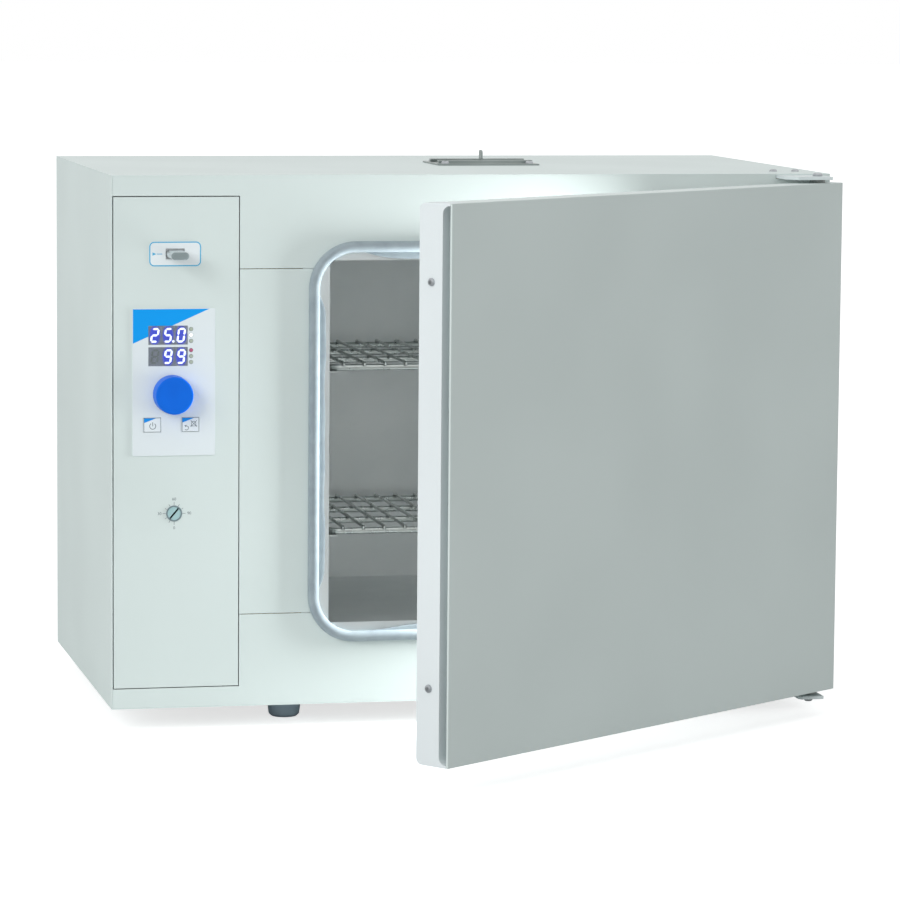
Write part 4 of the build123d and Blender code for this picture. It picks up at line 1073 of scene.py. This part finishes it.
def figure(mesh, bars, cx, cz, y):
    right = digitMake["width"] / 2 - digitMake["stroke"] / 2
    top = digitMake["height"] / 2 - digitMake["stroke"] / 2
    ends = {
        "a": ((-right, top), (right, top)),
        "b": ((right, 0), (right, top)),
        "c": ((right, -top), (right, 0)),
        "d": ((-right, -top), (right, -top)),
        "e": ((-right, -top), (-right, 0)),
        "f": ((-right, 0), (-right, top)),
        "g": ((-right, 0), (right, 0)),
    }
    for bar in bars:
        segmentBar(mesh, *ends[bar], cx, cz, y)


def haloResin(litPlaces):
    # The module's face: grey potting that glows blue round each lit figure.
    material, shader = startMaterial("pottedDisplayFace", Roughness=0.35, Emission_Color=linear(haloMake["light"]))

    def step(kind, operation, first, second, output):
        inputs = {0: first} if second is None else {0: first, 1: second}
        return addNode(material, kind, {"operation": operation}, inputs).outputs[output]

    place = addNode(material, "ShaderNodeTexCoord").outputs["Object"]
    fade = {"From Min": haloMake["inner"] * mm, "From Max": haloMake["outer"] * mm, "To Min": 1.0, "To Max": 0.0}
    glow = None
    for x, z in litPlaces:
        centre = spot(x, 0, z)
        centre.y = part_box("display_windows")[0].y
        away = step("ShaderNodeVectorMath", "SUBTRACT", place, centre, "Vector")
        away = step("ShaderNodeVectorMath", "MULTIPLY", away, haloMake["squash"], "Vector")
        distance = step("ShaderNodeVectorMath", "LENGTH", away, None, "Value")
        near = addNode(material, "ShaderNodeMapRange", inputs={"Value": distance, **fade}).outputs["Result"]
        glow = near if glow is None else step("ShaderNodeMath", "MAXIMUM", glow, near, "Value")
    mottled = speckle(material, 5.0, 2.0)
    soft = step("ShaderNodeMath", "MULTIPLY", glow, spread(material, mottled, 0.8, 1.0), "Value")
    join(
        material,
        shader,
        Base_Color=mixColours(material, soft, haloMake["potting"], haloMake["litPotting"]),
        Emission_Strength=step("ShaderNodeMath", "MULTIPLY", soft, haloMake["glow"], "Value"),
    )
    return material


def displays():
    face = (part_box("display_windows")[0].y - casing.y) / mm + windowMake["lift"]
    ink = face - digitMake["lift"]
    left, right, height, inset = (windowMake[name] for name in ("left", "right", "height", "inset"))
    centreX = (left + right) / 2
    places = [centreX + i * digitMake["pitch"] for i in (-1, 0, 1)]
    rows = [top - height / 2 for top in windowMake["tops"]]
    lit = [(x, rows[0]) for x in places] + [(x, rows[1]) for x in places[1:]]
    faces = bmesh.new()
    for top in windowMake["tops"]:
        flatShape(faces, boxPoints(left + inset, right - inset, top - height + inset, top - inset), face)
    printPiece("displayFaces", faces, haloResin(lit), "casing")
    bright = bmesh.new()
    for (x, z), letter in zip(lit, "25099"):
        figure(bright, segments[letter], x, z, ink)
    dotX = places[1] + digitMake["width"] / 2 + digitMake["dotGap"]
    dotZ = rows[0] - digitMake["height"] / 2 + digitMake["dot"]
    flatShape(bright, circlePoints(dotX, dotZ, digitMake["dot"], digitMake["dotSides"]), ink)
    printPiece("litFigures", bright, litResin("litFigureResin", "#F4F7FF", "#EEF3FF", 1.0), "casing")
    dull = bmesh.new()
    figure(dull, segments["8"], places[0], rows[1], ink)
    dullResin = mouldedPlastic("unlitFigureResin", "#86918A", "#8C978F", 0.4)
    printPiece("unlitFigure", dull, dullResin, "casing")
    windows = bmesh.new()
    for z in rows:
        block(windows, spot(centreX, windowMake["paneFront"], z), (right - left, windowMake["pane"], height))
    newPiece("windowPanes", windows, clearFilm(), "casing", ("display_windows",))


displays()


# Lamps: a domed lens on each light pipe

lampMake = {
    "x": 75.4, "front": -0.8, "radius": 1.5, "domeShare": 1.12, "rise": 0.35, "sides": 20, "domeSteps": 4,
    "rimShare": 1.2, "rimLine": 0.35, "rimSides": 24, "rimFront": -0.83,
    "heights": {"dullLens": (360.5, 349.3, 335.0, 329.4), "whiteLens": (354.9,), "redLens": (340.6,)},
}


def lampLenses(kind, resin):
    x, dome, rise = lampMake["x"], lampMake["radius"] * lampMake["domeShare"] * mm, lampMake["rise"] * mm
    domes = bmesh.new()
    rims = bmesh.new()
    for z in lampMake["heights"][kind]:
        place = spot(x, lampMake["front"], z)
        angles = [i * pi / 2 / lampMake["domeSteps"] for i in range(lampMake["domeSteps"] + 1)]
        profile = [place + Vector((dome * cos(angle), -rise * sin(angle), 0)) for angle in angles]
        lathe(domes, profile, place, (0, 1, 0), lampMake["sides"])
        rim = circlePoints(x, z, lampMake["radius"] * lampMake["rimShare"], lampMake["rimSides"])
        ribbon(rims, rim, lampMake["rimLine"], lampMake["rimFront"], closed=True)
    joinPoints(domes)
    bmesh.ops.holes_fill(domes, edges=domes.edges, sides=0)
    newPiece(kind + "Domes", domes, resin, "casing")
    printPiece(kind + "Rims", rims, inkGrey, "casing")


lampLenses("dullLens", mouldedPlastic("diffusedLensGreen", "#A9B4A4", "#B3BDAE", 0.3))
lampLenses("whiteLens", litResin("diffusedLensLit", "#F6FAFA", "#F6FAFF", 0.9))
lampLenses("redLens", mouldedPlastic("diffusedLensRed", "#B25A78", "#BC6482", 0.3))
print("displays and lamps ready")


# Stage, light and camera

stageMake = {"floorSize": 60.0, "floorColour": "#C8CACA", "floorLift": 0.7, "onObject": 0.72, "toCamera": 1.0}


def floor():
    mesh = bmesh.new()
    bmesh.ops.create_grid(mesh, x_segments=1, y_segments=1, size=stageMake["floorSize"] / 2)
    data = bpy.data.meshes.new("studioFloor")
    mesh.to_mesh(data)
    mesh.free()
    plane = bpy.data.objects.new("studioFloor", data)
    bpy.context.scene.collection.objects.link(plane)
    # Matt white paper sweep: even white to the camera, with the object's own soft shadow on it.
    paper, shader = startMaterial(
        "mattPaperSweep", Roughness=0.9, Base_Color=linear(stageMake["floorColour"]), Emission_Color=(1, 1, 1, 1)
    )
    seen = addNode(paper, "ShaderNodeLightPath").outputs["Is Camera Ray"]
    lift = addNode(paper, "ShaderNodeMath", {"operation": "MULTIPLY"}, {0: seen, 1: stageMake["floorLift"]})
    join(paper, shader, Emission_Strength=lift.outputs["Value"])
    data.materials.append(paper)


def studioWorld():
    # soft white tent: white to the camera and in reflections, a little lower as light on the object
    world = bpy.data.worlds.new("whiteTent")
    bpy.context.scene.world = world
    world.use_nodes = True
    world.node_tree.nodes.clear()
    rays = addNode(world, "ShaderNodeLightPath").outputs
    seen = rays["Is Camera Ray"]
    for ray in ("Is Glossy Ray", "Is Transmission Ray"):
        settings = {"operation": "ADD", "use_clamp": True}
        seen = addNode(world, "ShaderNodeMath", settings, {0: seen, 1: rays[ray]}).outputs["Value"]
    inputs = {"Value": seen, "To Min": stageMake["onObject"], "To Max": stageMake["toCamera"]}
    strength = addNode(world, "ShaderNodeMapRange", inputs=inputs).outputs["Result"]
    back = addNode(world, "ShaderNodeBackground", inputs={"Color": (1, 1, 1, 1), "Strength": strength})
    addNode(world, "ShaderNodeOutputWorld", inputs={"Surface": back.outputs["Background"]})


# a large soft key at the front left, and a small one for the light that fills the open chamber
lightMake = {
    "key": {"place": (-2600, -2300, 1900), "size": 1.9, "power": 66.0, "aim": (350, 100, 250)},
    "chamber": {"place": (560, 20, 250), "size": 0.3, "power": 11.0, "aim": (300, 300, 230)},
}


def softLight(name):
    light = bpy.data.lights.new(name, "AREA")
    light.shape = "SQUARE"
    light.size = lightMake[name]["size"]
    light.energy = lightMake[name]["power"]
    lamp = bpy.data.objects.new(name, light)
    bpy.context.scene.collection.objects.link(lamp)
    lamp.visible_camera = False
    lamp.visible_glossy = False
    lamp.location = spot(*lightMake[name]["place"])
    aim = spot(*lightMake[name]["aim"]) - lamp.location
    lamp.rotation_euler = aim.to_track_quat("-Z", "Y").to_euler()


cameraMake = {
    "place": (-528.0, -3883.8, 691.2), "turn": (83.554, -0.462, -12.343),
    "lens": 167.48, "sensor": 36.0, "clip": 100.0,
}


def camera():
    data = bpy.data.cameras.new("camera")
    data.sensor_width = cameraMake["sensor"]
    data.lens = cameraMake["lens"]
    data.clip_end = cameraMake["clip"]
    view = bpy.data.objects.new("camera", data)
    bpy.context.scene.collection.objects.link(view)
    view.location = spot(*cameraMake["place"])
    view.rotation_euler = [radians(angle) for angle in cameraMake["turn"]]
    bpy.context.scene.camera = view


floor()
studioWorld()
softLight("key")
softLight("chamber")
camera()
bpy.context.scene.view_settings.view_transform = "Standard"
print("stage ready")
